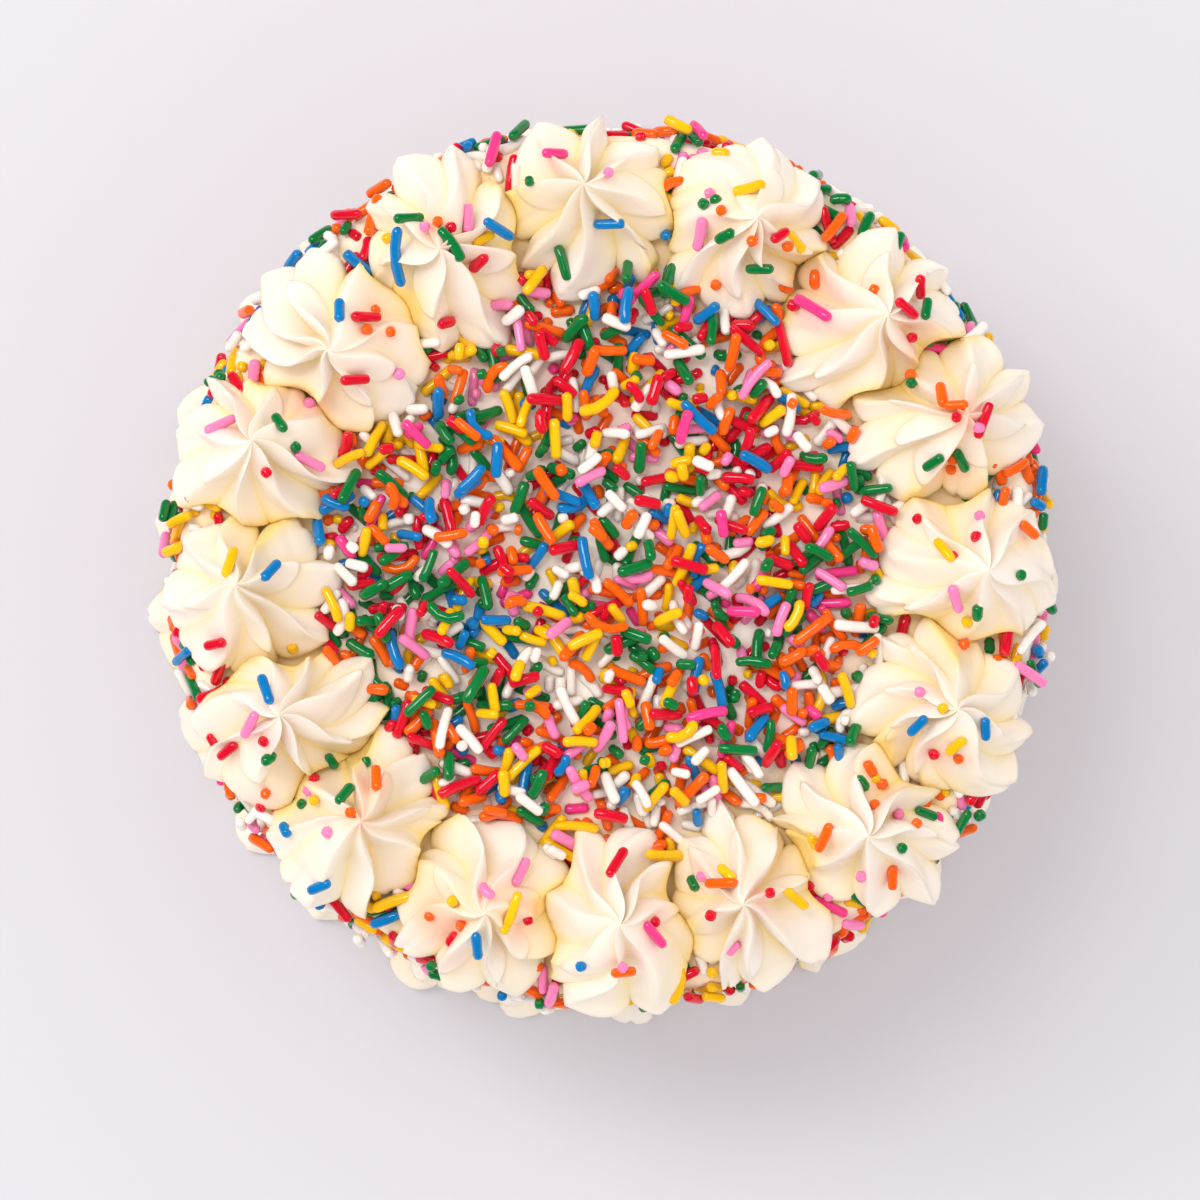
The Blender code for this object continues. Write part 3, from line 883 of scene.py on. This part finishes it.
def resting_line(s, heights):
    """A rod laid on these heights rests on one point each side of its middle: height and slope."""
    half = len(s) // 2
    left, right = heights[:half, None], heights[None, half + 1 :]
    span = s[None, half + 1 :] - s[:half, None]
    slopes = (right - left) / span
    middles = left - slopes * s[:half, None]
    slope = float(np.clip(slopes.flat[int(middles.argmax())], -STEEPEST, STEEPEST))
    return float((heights - slope * s).max()), slope


def rod_kind(rng, length):
    """Radius and bend of one rod. Now and then it is a hook."""
    radius = SPRINKLE_RADIUS * rng.uniform(THINNEST, THICKEST)
    bend = rng.gauss(0, BEND)
    if rng.random() < HOOK_SHARE:
        bend = rng.choice((-1, 1)) * rng.uniform(HOOK_LEAST, HOOK_MOST)
    return radius, bend if length > BENT_FROM else 0


def rod_path(middle, along, normal, length, radius, bend, rng):
    """Points along one rod with their thickness: blunt ends, a slight bend and uneven thickness."""
    across = normal.cross(along)
    end = min(END_ROUND * radius, END_MOST * length)
    half = length / 2
    tip, rounded = END_THICKNESS
    far_half = (
        (half * BODY_STEP, 1.0),
        (half - end, 1.0),
        (half - END_STEP * end, rounded),
        (half, tip),
    )
    near_half = [(-s, share) for s, share in reversed(far_half)]
    path = []
    for s, share in (*near_half, *far_half):
        side = bend * length * ((s / half) ** 2 - BODY_STEP)
        place = middle + along * s + across * side
        thickness = radius / SPRINKLE_RADIUS * share * rng.uniform(1 - UNEVEN, 1 + UNEVEN)
        path.append((place, thickness))
    return path


def draw_colour(rng, place, laid):
    """A colour by its share in the mix, or now and then that of the rod laid nearest to place."""
    if laid and rng.random() < SAME_COLOUR:
        return min(laid, key=lambda other: math.dist(place, other[0]))[1]
    return rng.choices(list(COLOURS), [share for _, share in COLOURS.values()])[0]


rods = {colour: [] for colour in COLOURS}


def on_top(x, y, height):
    return Vector((x, y, CAKE_HEIGHT + height))


def on_side(x, y, height):
    radius, level, out, up = cake_profile(y)
    bearing = x / CAKE_RADIUS
    radius += out * height
    return Vector((radius * math.cos(bearing), radius * math.sin(bearing), level + up * height))


def lay_rod(surface, x, y, heading, length, radius, bend, middle, slope, colour, rng):
    """Adds a rod whose middle is that high over the surface point x, y."""
    dx, dy = math.cos(heading) * length / 2, math.sin(heading) * length / 2
    lift = middle + radius
    one = surface(x - dx, y - dy, lift - slope * length / 2)
    other = surface(x + dx, y + dy, lift + slope * length / 2)
    centre = surface(x, y, lift)
    normal = (surface(x, y, lift + MM) - centre).normalized()
    along = (other - one).normalized()
    rods[colour].append(rod_path(centre, along, normal, length, radius, bend, rng))


def strew(bed, surface, large, count, draw, seed):
    """Lays the large rods, half sunk, and then the rest, each where it lies lowest of a few draws."""
    rng = random.Random(seed)
    laid = []
    for x, y, heading, length in large:
        middle = SPRINKLE_LIFT - SPRINKLE_RADIUS
        colour = draw_colour(rng, (x, y), laid)
        laid.append(((x, y), colour))
        bend = rng.gauss(0, LARGE_BEND)
        lay_rod(surface, x, y, heading, length, SPRINKLE_RADIUS, bend, middle, 0, colour, rng)
        bed.settle(x, y, heading, length, SPRINKLE_RADIUS, middle, 0)
    for _ in range(count):
        length = draw_length(rng)
        radius, bend = rod_kind(rng, length)
        lowest = None
        for _ in range(RESTING_TRIES):
            x, y, heading = draw(rng)
            middle, slope = bed.rest(x, y, heading, length, radius)
            cost = middle + abs(slope) * SLOPE_COST
            if lowest is None or cost < lowest[0]:
                lowest = (cost, x, y, heading, middle, slope)
        _, x, y, heading, middle, slope = lowest
        sunk = radius * rng.uniform(*(SUNK_IN_CREAM if middle < ON_CREAM else SUNK_IN_RODS))
        colour = draw_colour(rng, (x, y), laid)
        laid.append(((x, y), colour))
        lay_rod(surface, x, y, heading, length, radius, bend, middle - sunk, slope, colour, rng)
        bed.settle(x, y, heading, length, radius, middle - sunk, slope)


# The rest on the flat top: how far out and how many, their bed, and how high a swirl covers the cake
FIELD_REACH = 52 * MM
FIELD_MORE = 1300
FIELD_BED = 140 * MM
FIELD_STREW_SEED = 24
COVERED_FROM = 3 * MM


def draw_length(rng):
    """Most are whole rods. The rest are broken bits and dots."""
    kind = rng.random()
    if kind < DOT_SHARE:
        return rng.uniform(DOT_SHORTEST, DOT_LONGEST)
    if kind < DOT_SHARE + BROKEN_SHARE:
        return rng.uniform(BROKEN_SHORTEST, BROKEN_LONGEST)
    return rng.triangular(WHOLE_SHORTEST, WHOLE_LONGEST, WHOLE_USUAL)


cream_top = joined_tree((cake, *top_swirls))


def field_draw(rng):
    """Anywhere on the flat top that no swirl covers."""
    covered = True
    while covered:
        reach = FIELD_REACH * math.sqrt(rng.random())
        bearing = rng.uniform(0, math.tau)
        x, y = reach * math.cos(bearing), reach * math.sin(bearing)
        spot = cream_top.ray_cast(Vector((x, y, 1)), Vector((0, 0, -1)))[0]
        covered = spot.z > CAKE_HEIGHT + COVERED_FROM
    return x, y, rng.uniform(0, math.pi)


# The rest on the side and the shoulder, with a share of them in the notches between the swirls
SIDE_LOW = 12 * MM
SIDE_HIGH = 101 * MM
SIDE_MORE = 2500
SIDE_WIDTH = math.tau * CAKE_RADIUS
SIDE_BED = 220 * MM
SIDE_STREW_SEED = 22
NOTCH_SHARE = 0.22
NOTCH_WIDTH = 4 * MM
NOTCH_REACH = 9 * MM


def side_draw(rng):
    """Anywhere on the side, and more of them on the shoulder in the notches between the swirls."""
    x = rng.uniform(0, SIDE_WIDTH)
    y = SIDE_HIGH - (SIDE_HIGH - SIDE_LOW) * rng.random()
    if rng.random() < NOTCH_SHARE:
        n = rng.randrange(len(TOP_SWIRLS))
        notch = between(math.radians(TOP_SWIRLS[n][0]), math.radians(TOP_SWIRLS[n - 1][0]))
        x = notch % math.tau * CAKE_RADIUS + rng.gauss(0, NOTCH_WIDTH)
        y = WALL_TOP + SHOULDER_ARC / 2 + rng.uniform(-NOTCH_REACH, NOTCH_REACH)
    return x, y, rng.uniform(0, math.pi)


field_bed = Bed(FIELD_BED, FIELD_BED)
strew(field_bed, on_top, field_sprinkles(), FIELD_MORE, field_draw, FIELD_STREW_SEED)
side_bed = Bed(SIDE_WIDTH, SIDE_BED)
side_large = [(b * CAKE_RADIUS, h, turn, length) for b, h, turn, length in wall_sprinkles()]
strew(side_bed, on_side, side_large, SIDE_MORE, side_draw, SIDE_STREW_SEED)

# The rods on the top swirls, read off the photo one by one: the pixels of the two ends, across and down
FALLEN_RODS = {
    "red": (
        (471, 269, 486, 255), (438, 322, 453, 317), (333, 306, 373, 268), (235, 364, 278, 372),
        (232, 468, 243, 483), (250, 580, 292, 562), (791, 262, 800, 280), (830, 287, 846, 306),
        (792, 300, 800, 304), (863, 368, 878, 381), (945, 440, 976, 419), (401, 823, 414, 855),
        (448, 948, 456, 936),
    ),
    "orange": (
        (819, 266, 819, 282), (783, 281, 795, 285), (940, 383, 942, 407), (944, 407, 964, 406),
        (995, 454, 1012, 434), (870, 764, 877, 776), (728, 853, 741, 832), (734, 895, 748, 919),
        (642, 973, 658, 985), (437, 974, 473, 965), (304, 742, 326, 730),
    ),
    "yellow": (
        (466, 238, 483, 242), (190, 443, 213, 436), (716, 144, 730, 145), (734, 193, 763, 184),
        (761, 232, 779, 252), (943, 564, 977, 583), (812, 836, 820, 850), (873, 838, 881, 856),
        (667, 880, 680, 899), (618, 1004, 639, 1003), (326, 816, 353, 827),
    ),
    "green": (
        (395, 183, 375, 212), (502, 222, 520, 217), (442, 232, 462, 261), (267, 379, 266, 404),
        (716, 241, 733, 233), (732, 267, 754, 250), (929, 375, 932, 405), (914, 464, 926, 440),
        (975, 500, 990, 464), (978, 606, 978, 620), (860, 778, 868, 790), (772, 912, 772, 930),
        (692, 880, 698, 892), (284, 719, 284, 744), (264, 762, 274, 754), (325, 757, 333, 769),
    ),
    "blue": (
        (484, 219, 513, 236), (378, 240, 386, 297), (395, 226, 398, 286), (270, 458, 293, 456),
        (616, 253, 636, 274), (931, 683, 926, 710), (787, 853, 834, 876), (243, 679, 262, 708),
        (277, 711, 323, 702), (370, 757, 391, 750), (280, 825, 286, 837),
    ),
    "rose": (
        (566, 148, 562, 187), (796, 294, 832, 318), (496, 953, 523, 923),
    ),
    "pink": (
        (480, 183, 469, 209), (214, 381, 226, 426), (370, 432, 382, 416), (240, 550, 279, 533),
        (703, 216, 698, 248), (984, 637, 1012, 628), (730, 955, 738, 945), (351, 713, 357, 749),
        (482, 884, 492, 894),
    ),
}
# The dots there, read in the same way: the pixel of the middle, across and down
FALLEN_DOTS = {
    "red": (
        (451, 229), (267, 473), (914, 336), (953, 419), (977, 537), (922, 517), (952, 556),
        (936, 755), (769, 892), (710, 915), (655, 922), (528, 921), (265, 741), (312, 780),
        (256, 810),
    ),
    "orange": (
        (438, 224), (374, 307), (367, 329), (390, 330), (721, 211), (751, 243), (788, 246),
        (718, 280), (875, 289), (913, 373), (956, 458), (956, 467), (970, 644), (960, 759),
        (886, 786), (876, 806), (918, 824), (429, 918), (461, 927), (352, 811), (263, 795),
    ),
    "yellow": (
        (385, 233), (970, 622), (940, 708), (879, 780), (453, 900), (505, 928), (289, 649),
        (313, 801), (231, 373),
    ),
    "green": (
        (295, 447), (529, 179), (704, 202), (716, 198), (914, 381), (1021, 575), (902, 848),
        (429, 972), (299, 806), (365, 763),
    ),
    "blue": (
        (668, 228), (581, 967),
    ),
    "pink": (
        (425, 229), (306, 400), (398, 372), (608, 174), (711, 190), (977, 429), (982, 515),
        (919, 692), (902, 816), (862, 877), (703, 878), (622, 967), (306, 792), (328, 832),
    ),
}
# The pixel over the cake's axis, the pixels in a millimetre at the height of the swirls, and the length that
# a rod's round ends add to the two readings
AXIS_ACROSS = 611.67
AXIS_DOWN = 563.89
PIXELS_IN_MM = 5.9
ROUND_ENDS = 0.6
DOT_LENGTH = 1.7
WHOLE_FROM = 3.5
FALLEN_TOUCHES = 7
FALLEN_SEED = 23
FALLEN_SUNK = (0.2, 0.8)
LARGE_SUNK = 0.5
fallen_on_swirls = []


def spot_read(across, down):
    """Where a pixel lies on the swirls, in millimetres from the cake's axis."""
    return (across - AXIS_ACROSS) / PIXELS_IN_MM, (AXIS_DOWN - down) / PIXELS_IN_MM


def dot_read(across, down):
    """A dot's place, to the tenth of a millimetre, which is finer than a pixel."""
    x, y = spot_read(across, down)
    return round(x, 1), round(y, 1)


def rod_read(across, down, far_across, far_down):
    """A rod's middle and length, to the tenth of a millimetre, and its heading, to the degree."""
    near = spot_read(across, down)
    far = spot_read(far_across, far_down)
    x, y = dot_read((across + far_across) / 2, (down + far_down) / 2)
    heading = math.degrees(math.atan2(far[1] - near[1], far[0] - near[0])) % 180
    return x, y, round(heading), round(math.dist(near, far) + ROUND_ENDS, 1)


def going_round(readings, read):
    """What read makes of the readings, in the order of their bearings."""
    return sorted((read(*pixels) for pixels in readings), key=lambda place: math.atan2(place[1], place[0]))


waiting = [
    (colour, *rod) for colour, readings in FALLEN_RODS.items() for rod in going_round(readings, rod_read)
]


def nearest_waiting(spot):
    """Takes the whole rod that is nearest to spot off the list, and gives its colour."""
    whole = [rod for rod in waiting if rod[4] > WHOLE_FROM]
    nearest = min(whole, key=lambda rod: math.dist((rod[1], rod[2]), (spot.x / MM, spot.y / MM)))
    waiting.remove(nearest)
    return nearest[0]


def drop_on(tree, x, y, heading, length, radius, bend, sunk, colour, rng):
    """Lays a rod straight down on a dollop, on what is under it."""
    s = np.linspace(-TOUCH_HALF, TOUCH_HALF, FALLEN_TOUCHES) * length
    heights = []
    for step in s:
        start = Vector((x + step * math.cos(heading), y + step * math.sin(heading), 1))
        spot = tree.ray_cast(start, Vector((0, 0, -1)))[0]
        heights.append(spot.z if spot else CAKE_HEIGHT)
    middle, slope = resting_line(s, np.array(heights))
    lift = middle + radius * (1 - sunk)
    along = Vector((math.cos(heading), math.sin(heading), slope)).normalized()
    centre = Vector((x, y, lift))
    normal = Vector((-math.sin(heading), math.cos(heading), 0)).cross(along) * -1
    rods[colour].append(rod_path(centre, along, normal, length, radius, bend, rng))
    fallen_on_swirls.append((centre, colour, rng.random()))


def drop_large(n, tree):
    """The large ones on a top swirl, by the rule that fuses them to the solid."""
    _, distance, _, width, _, _, _ = TOP_SWIRLS[n]
    bearing, low, high = ring_bearings(n)
    rng = random.Random(SWIRL_SPRINKLE_SEED + n)
    shapes = random.Random(SWIRL_SPRINKLE_SEED + SHAPE_SEED + n)
    middle = Vector((math.cos(bearing), math.sin(bearing), 0)) * distance * MM
    fallen = []
    for _ in range(SWIRL_SPRINKLE_TRIES):
        if len(fallen) == SWIRL_SPRINKLES:
            break
        reach = width * MM / 2 * rng.uniform(SWIRL_SPRINKLE_NEAR, SWIRL_SPRINKLE_FAR)
        turn = rng.uniform(0, math.tau)
        heading = rng.uniform(0, math.tau)
        length = rng.uniform(SPRINKLE_SHORTEST, SPRINKLE_LONGEST) * SWIRL_SPRINKLE_LENGTH
        start = middle + Vector((reach * math.cos(turn), reach * math.sin(turn), 1))
        spot, normal, _, _ = tree.ray_cast(start, Vector((0, 0, -1)))
        if spot is None or normal.z < SWIRL_SPRINKLE_LEVEL:
            continue
        if any((spot - other).length < SWIRL_SPRINKLE_SPACING for other in fallen):
            continue
        clear = length / 2 + 2 * SPRINKLE_RADIUS
        out = math.hypot(spot.x, spot.y)
        off_low = out * math.sin(math.atan2(spot.y, spot.x) - low)
        off_high = out * math.sin(high - math.atan2(spot.y, spot.x))
        if min(off_low, off_high) < clear or spot.z < CAKE_HEIGHT + clear:
            continue
        fallen.append(spot)
        colour = nearest_waiting(spot)
        rod = (spot.x, spot.y, heading, length, SPRINKLE_RADIUS, 0, LARGE_SUNK)
        drop_on(tree, *rod, colour, shapes)


def drop_waiting(rng):
    """The other rods and the dots, on whatever cream is under each."""
    spots = [
        (colour, *spot)
        for colour, readings in FALLEN_DOTS.items()
        for spot in going_round(readings, dot_read)
    ]
    dots = [(*spot, rng.uniform(0, 180), DOT_LENGTH) for spot in spots]
    for colour, x, y, heading, length in waiting + dots:
        radius, bend = rod_kind(rng, length * MM)
        turn = math.radians(heading)
        sunk = rng.uniform(*FALLEN_SUNK)
        drop_on(cream_top, x * MM, y * MM, turn, length * MM, radius, bend, sunk, colour, rng)


graph = bpy.context.evaluated_depsgraph_get()
for n, swirl in enumerate(top_swirls):
    drop_large(n, BVHTree.FromObject(swirl, graph))
drop_waiting(random.Random(FALLEN_SEED))

# The sugar's clouds and grain, in waves in a metre, its shine, and how far its tone varies
SUGAR_CLOUDS = 170.0
SUGAR_GRAIN = 1500.0
SUGAR_BUMP = 0.3
SUGAR_BUMP_DEPTH = 0.05 * MM
SUGAR_ROUGHNESS = 0.10
SUGAR_SHINE = 0.65
DARKER = 0.80
LIGHTER = 1.18
LEAST_COLOUR = 0.003


def sugar_material(colour, tone):
    """Glossy coloured sugar, a little uneven in colour and surface."""
    material, tree, shader, place = new_material("sugar_" + colour)
    clouds = noise_map(tree, place, SUGAR_CLOUDS, 2.0, 0.6)
    darker = tuple(c * DARKER for c in tone)
    lighter = tuple(min(1.0, c * LIGHTER + LEAST_COLOUR) for c in tone)
    uneven = mixed_colour(tree, clouds, darker, lighter)
    grain = noise_map(tree, place, SUGAR_GRAIN, 2.0, 0.5)
    bumps = (grain, SUGAR_BUMP, SUGAR_BUMP_DEPTH)
    finish_surface(tree, shader, uneven, bumps, SUGAR_ROUGHNESS, SUGAR_SHINE)
    return material


def rod_tree(material, sizes):
    """Sweeps a round section along every path; its thickness there is stored with the path's points."""
    tree, given, out = named_tree("sugar rods " + material.name, sizes)
    lines = add_node(tree, "GeometryNodeMeshToCurve", {"Mesh": given.outputs["Geometry"]})
    thickness = add_node(tree, "GeometryNodeInputNamedAttribute", {"Name": "thickness"})
    thick = add_node(
        tree,
        "GeometryNodeSetCurveRadius",
        {"Curve": lines.outputs["Curve"], "Radius": thickness.outputs["Attribute"]},
    )
    section = add_node(
        tree,
        "GeometryNodeCurvePrimitiveCircle",
        {"Resolution": given.outputs["Sides"], "Radius": given.outputs["Rod radius"]},
    )
    radius = add_node(tree, "GeometryNodeInputRadius")
    swept = add_node(
        tree,
        "GeometryNodeCurveToMesh",
        {
            "Curve": thick.outputs["Curve"],
            "Profile Curve": section.outputs["Curve"],
            "Scale": radius.outputs[0],
            "Fill Caps": True,
        },
    )
    smooth = add_node(tree, "GeometryNodeSetShadeSmooth", {0: swept.outputs["Mesh"]})
    finish_tree(tree, smooth.outputs[0], out, material)
    return tree


def sprinkle_piece(colour):
    points, edges, thickness = [], [], []
    for path in rods[colour]:
        start = len(points)
        points += [tuple(place) for place, _ in path]
        thickness += [share for _, share in path]
        edges += [(start + k, start + k + 1) for k in range(len(path) - 1)]
    mesh = bpy.data.meshes.new("sprinkles_" + colour)
    mesh.from_pydata(points, edges, [])
    point_values(mesh, "thickness", thickness)
    material = sugar_material(colour, COLOURS[colour][0])
    sizes = {"Rod radius": SPRINKLE_RADIUS, "Sides": ROD_SIDES}
    piece = linked_object("sprinkles_" + colour, mesh)
    return grown(piece, rod_tree(material, sizes), sizes, material)


for colour in COLOURS:
    piece = sprinkle_piece(colour)
    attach(piece, "root")

# Colour that has bled from the sprinkles into the damp cream of the top swirls
# The red, orange, rose, pink and yellow dyes run a little. For each: its tone in cream and its strength.
BLEEDS = {
    "red": ((0.95, 0.42, 0.34), 0.65),
    "orange": ((0.98, 0.52, 0.28), 1.0),
    "rose": ((0.97, 0.42, 0.44), 0.9),
    "pink": ((0.97, 0.55, 0.52), 0.6),
    "yellow": ((0.98, 0.78, 0.35), 0.6),
}
BLEED_SHORTEST = 1.6 * MM
BLEED_MORE = 3.0 * MM
BLEED_FAINTEST = 0.25
BLEED_STRONGER = 0.6
BLEED_MOST = 0.9


def stain(swirl, spots):
    """Stores the tone that has bled into each point of the swirl, and how much of it."""
    mesh = swirl.data
    count = len(mesh.vertices)
    places = np.empty(count * 3, np.float32)
    mesh.vertices.foreach_get("co", places)
    places = places.reshape(-1, 3)
    tint = np.zeros((count, 4), np.float32)
    amount = np.zeros(count, np.float32)
    for centre, colour, chance in spots:
        if colour not in BLEEDS:
            continue
        tone, strength = BLEEDS[colour]
        reach = BLEED_SHORTEST + BLEED_MORE * chance
        away = np.linalg.norm(places - np.array(centre), axis=1)
        here = strength * (BLEED_FAINTEST + BLEED_STRONGER * chance)
        here = here * np.exp(-((away / reach) ** 2))
        tint[:, :3] += here[:, None] * np.array(tone)
        tint[:, 3] += here
        amount = 1 - (1 - amount) * (1 - here)
    tint[:, :3] /= np.maximum(tint[:, 3:], 1e-6)
    tint[:, 3] = 1
    layer = mesh.attributes.new("dye", "FLOAT_COLOR", "POINT")
    layer.data.foreach_set("color", tint.ravel())
    point_values(mesh, "dye_amount", np.clip(amount, 0, BLEED_MOST))


for swirl in top_swirls:
    stain(swirl, fallen_on_swirls)

# Studio
# A plain pale floor under a white sky, soft lights from the upper left and the lower right, and the
# camera straight above.
# Sizes of the floor and places of the lights are in metres.
FLOOR_REACH = 1.6
FLOOR_COLOUR = (0.62, 0.60, 0.64, 1)
FLOOR_ROUGHNESS = 0.9
SKY_STRENGTH = 1.08
LIGHT_AIM = Vector((0, 0, 0.08))
# Each light: its name, its place and its size in metres, and its power in watts
LIGHTS = (
    ("key", (-0.66, 0.42, 1.05), 0.42, 3.8),
    ("fill", (0.7, -0.6, 1.2), 1.2, 1.12),
    ("glint", (-0.25, 0.30, 1.2), 0.26, 2.8),
)
CAMERA_PLACE = Vector((-11.3, -12.9, 800)) * MM
CAMERA_AIM = Vector((-0.6, -5.1, 0)) * MM
CAMERA_LENS = 123.1

floor_mesh = bpy.data.meshes.new("floor")
corners = [(-1, -1), (1, -1), (1, 1), (-1, 1)]
floor_mesh.from_pydata([(FLOOR_REACH * x, FLOOR_REACH * y, 0) for x, y in corners], [], [range(4)])
floor = linked_object("floor", floor_mesh)
paper = bpy.data.materials.new("paper")
paper.use_nodes = True
surface = paper.node_tree.nodes["Principled BSDF"]
surface.inputs["Base Color"].default_value = FLOOR_COLOUR
surface.inputs["Roughness"].default_value = FLOOR_ROUGHNESS
floor_mesh.materials.append(paper)


def soft_light(name, place, size, power):
    light = bpy.data.lights.new(name, "AREA")
    light.size = size
    light.energy = power
    lamp = bpy.data.objects.new(name, light)
    lamp.location = place
    lamp.rotation_euler = (LIGHT_AIM - Vector(place)).to_track_quat("-Z", "Y").to_euler()
    bpy.context.scene.collection.objects.link(lamp)


for light in LIGHTS:
    soft_light(*light)
sky = bpy.data.worlds.new("studio")
sky.use_nodes = True
sky.node_tree.nodes["Background"].inputs["Color"].default_value = (1.0, 1.0, 1.0, 1)
sky.node_tree.nodes["Background"].inputs["Strength"].default_value = SKY_STRENGTH
sky.cycles_visibility.glossy = False
bpy.context.scene.world = sky
bpy.context.scene.view_settings.view_transform = "Standard"

view = bpy.data.cameras.new("camera")
view.sensor_width = 36
view.lens = CAMERA_LENS
camera = bpy.data.objects.new("camera", view)
camera.location = CAMERA_PLACE
forward = (CAMERA_AIM - CAMERA_PLACE).normalized()
right = forward.cross(Vector((0, 1, 0))).normalized()
up = right.cross(forward)
camera.rotation_euler = Matrix((right, up, -forward)).transposed().to_euler()
bpy.context.scene.collection.objects.link(camera)
bpy.context.scene.camera = camera
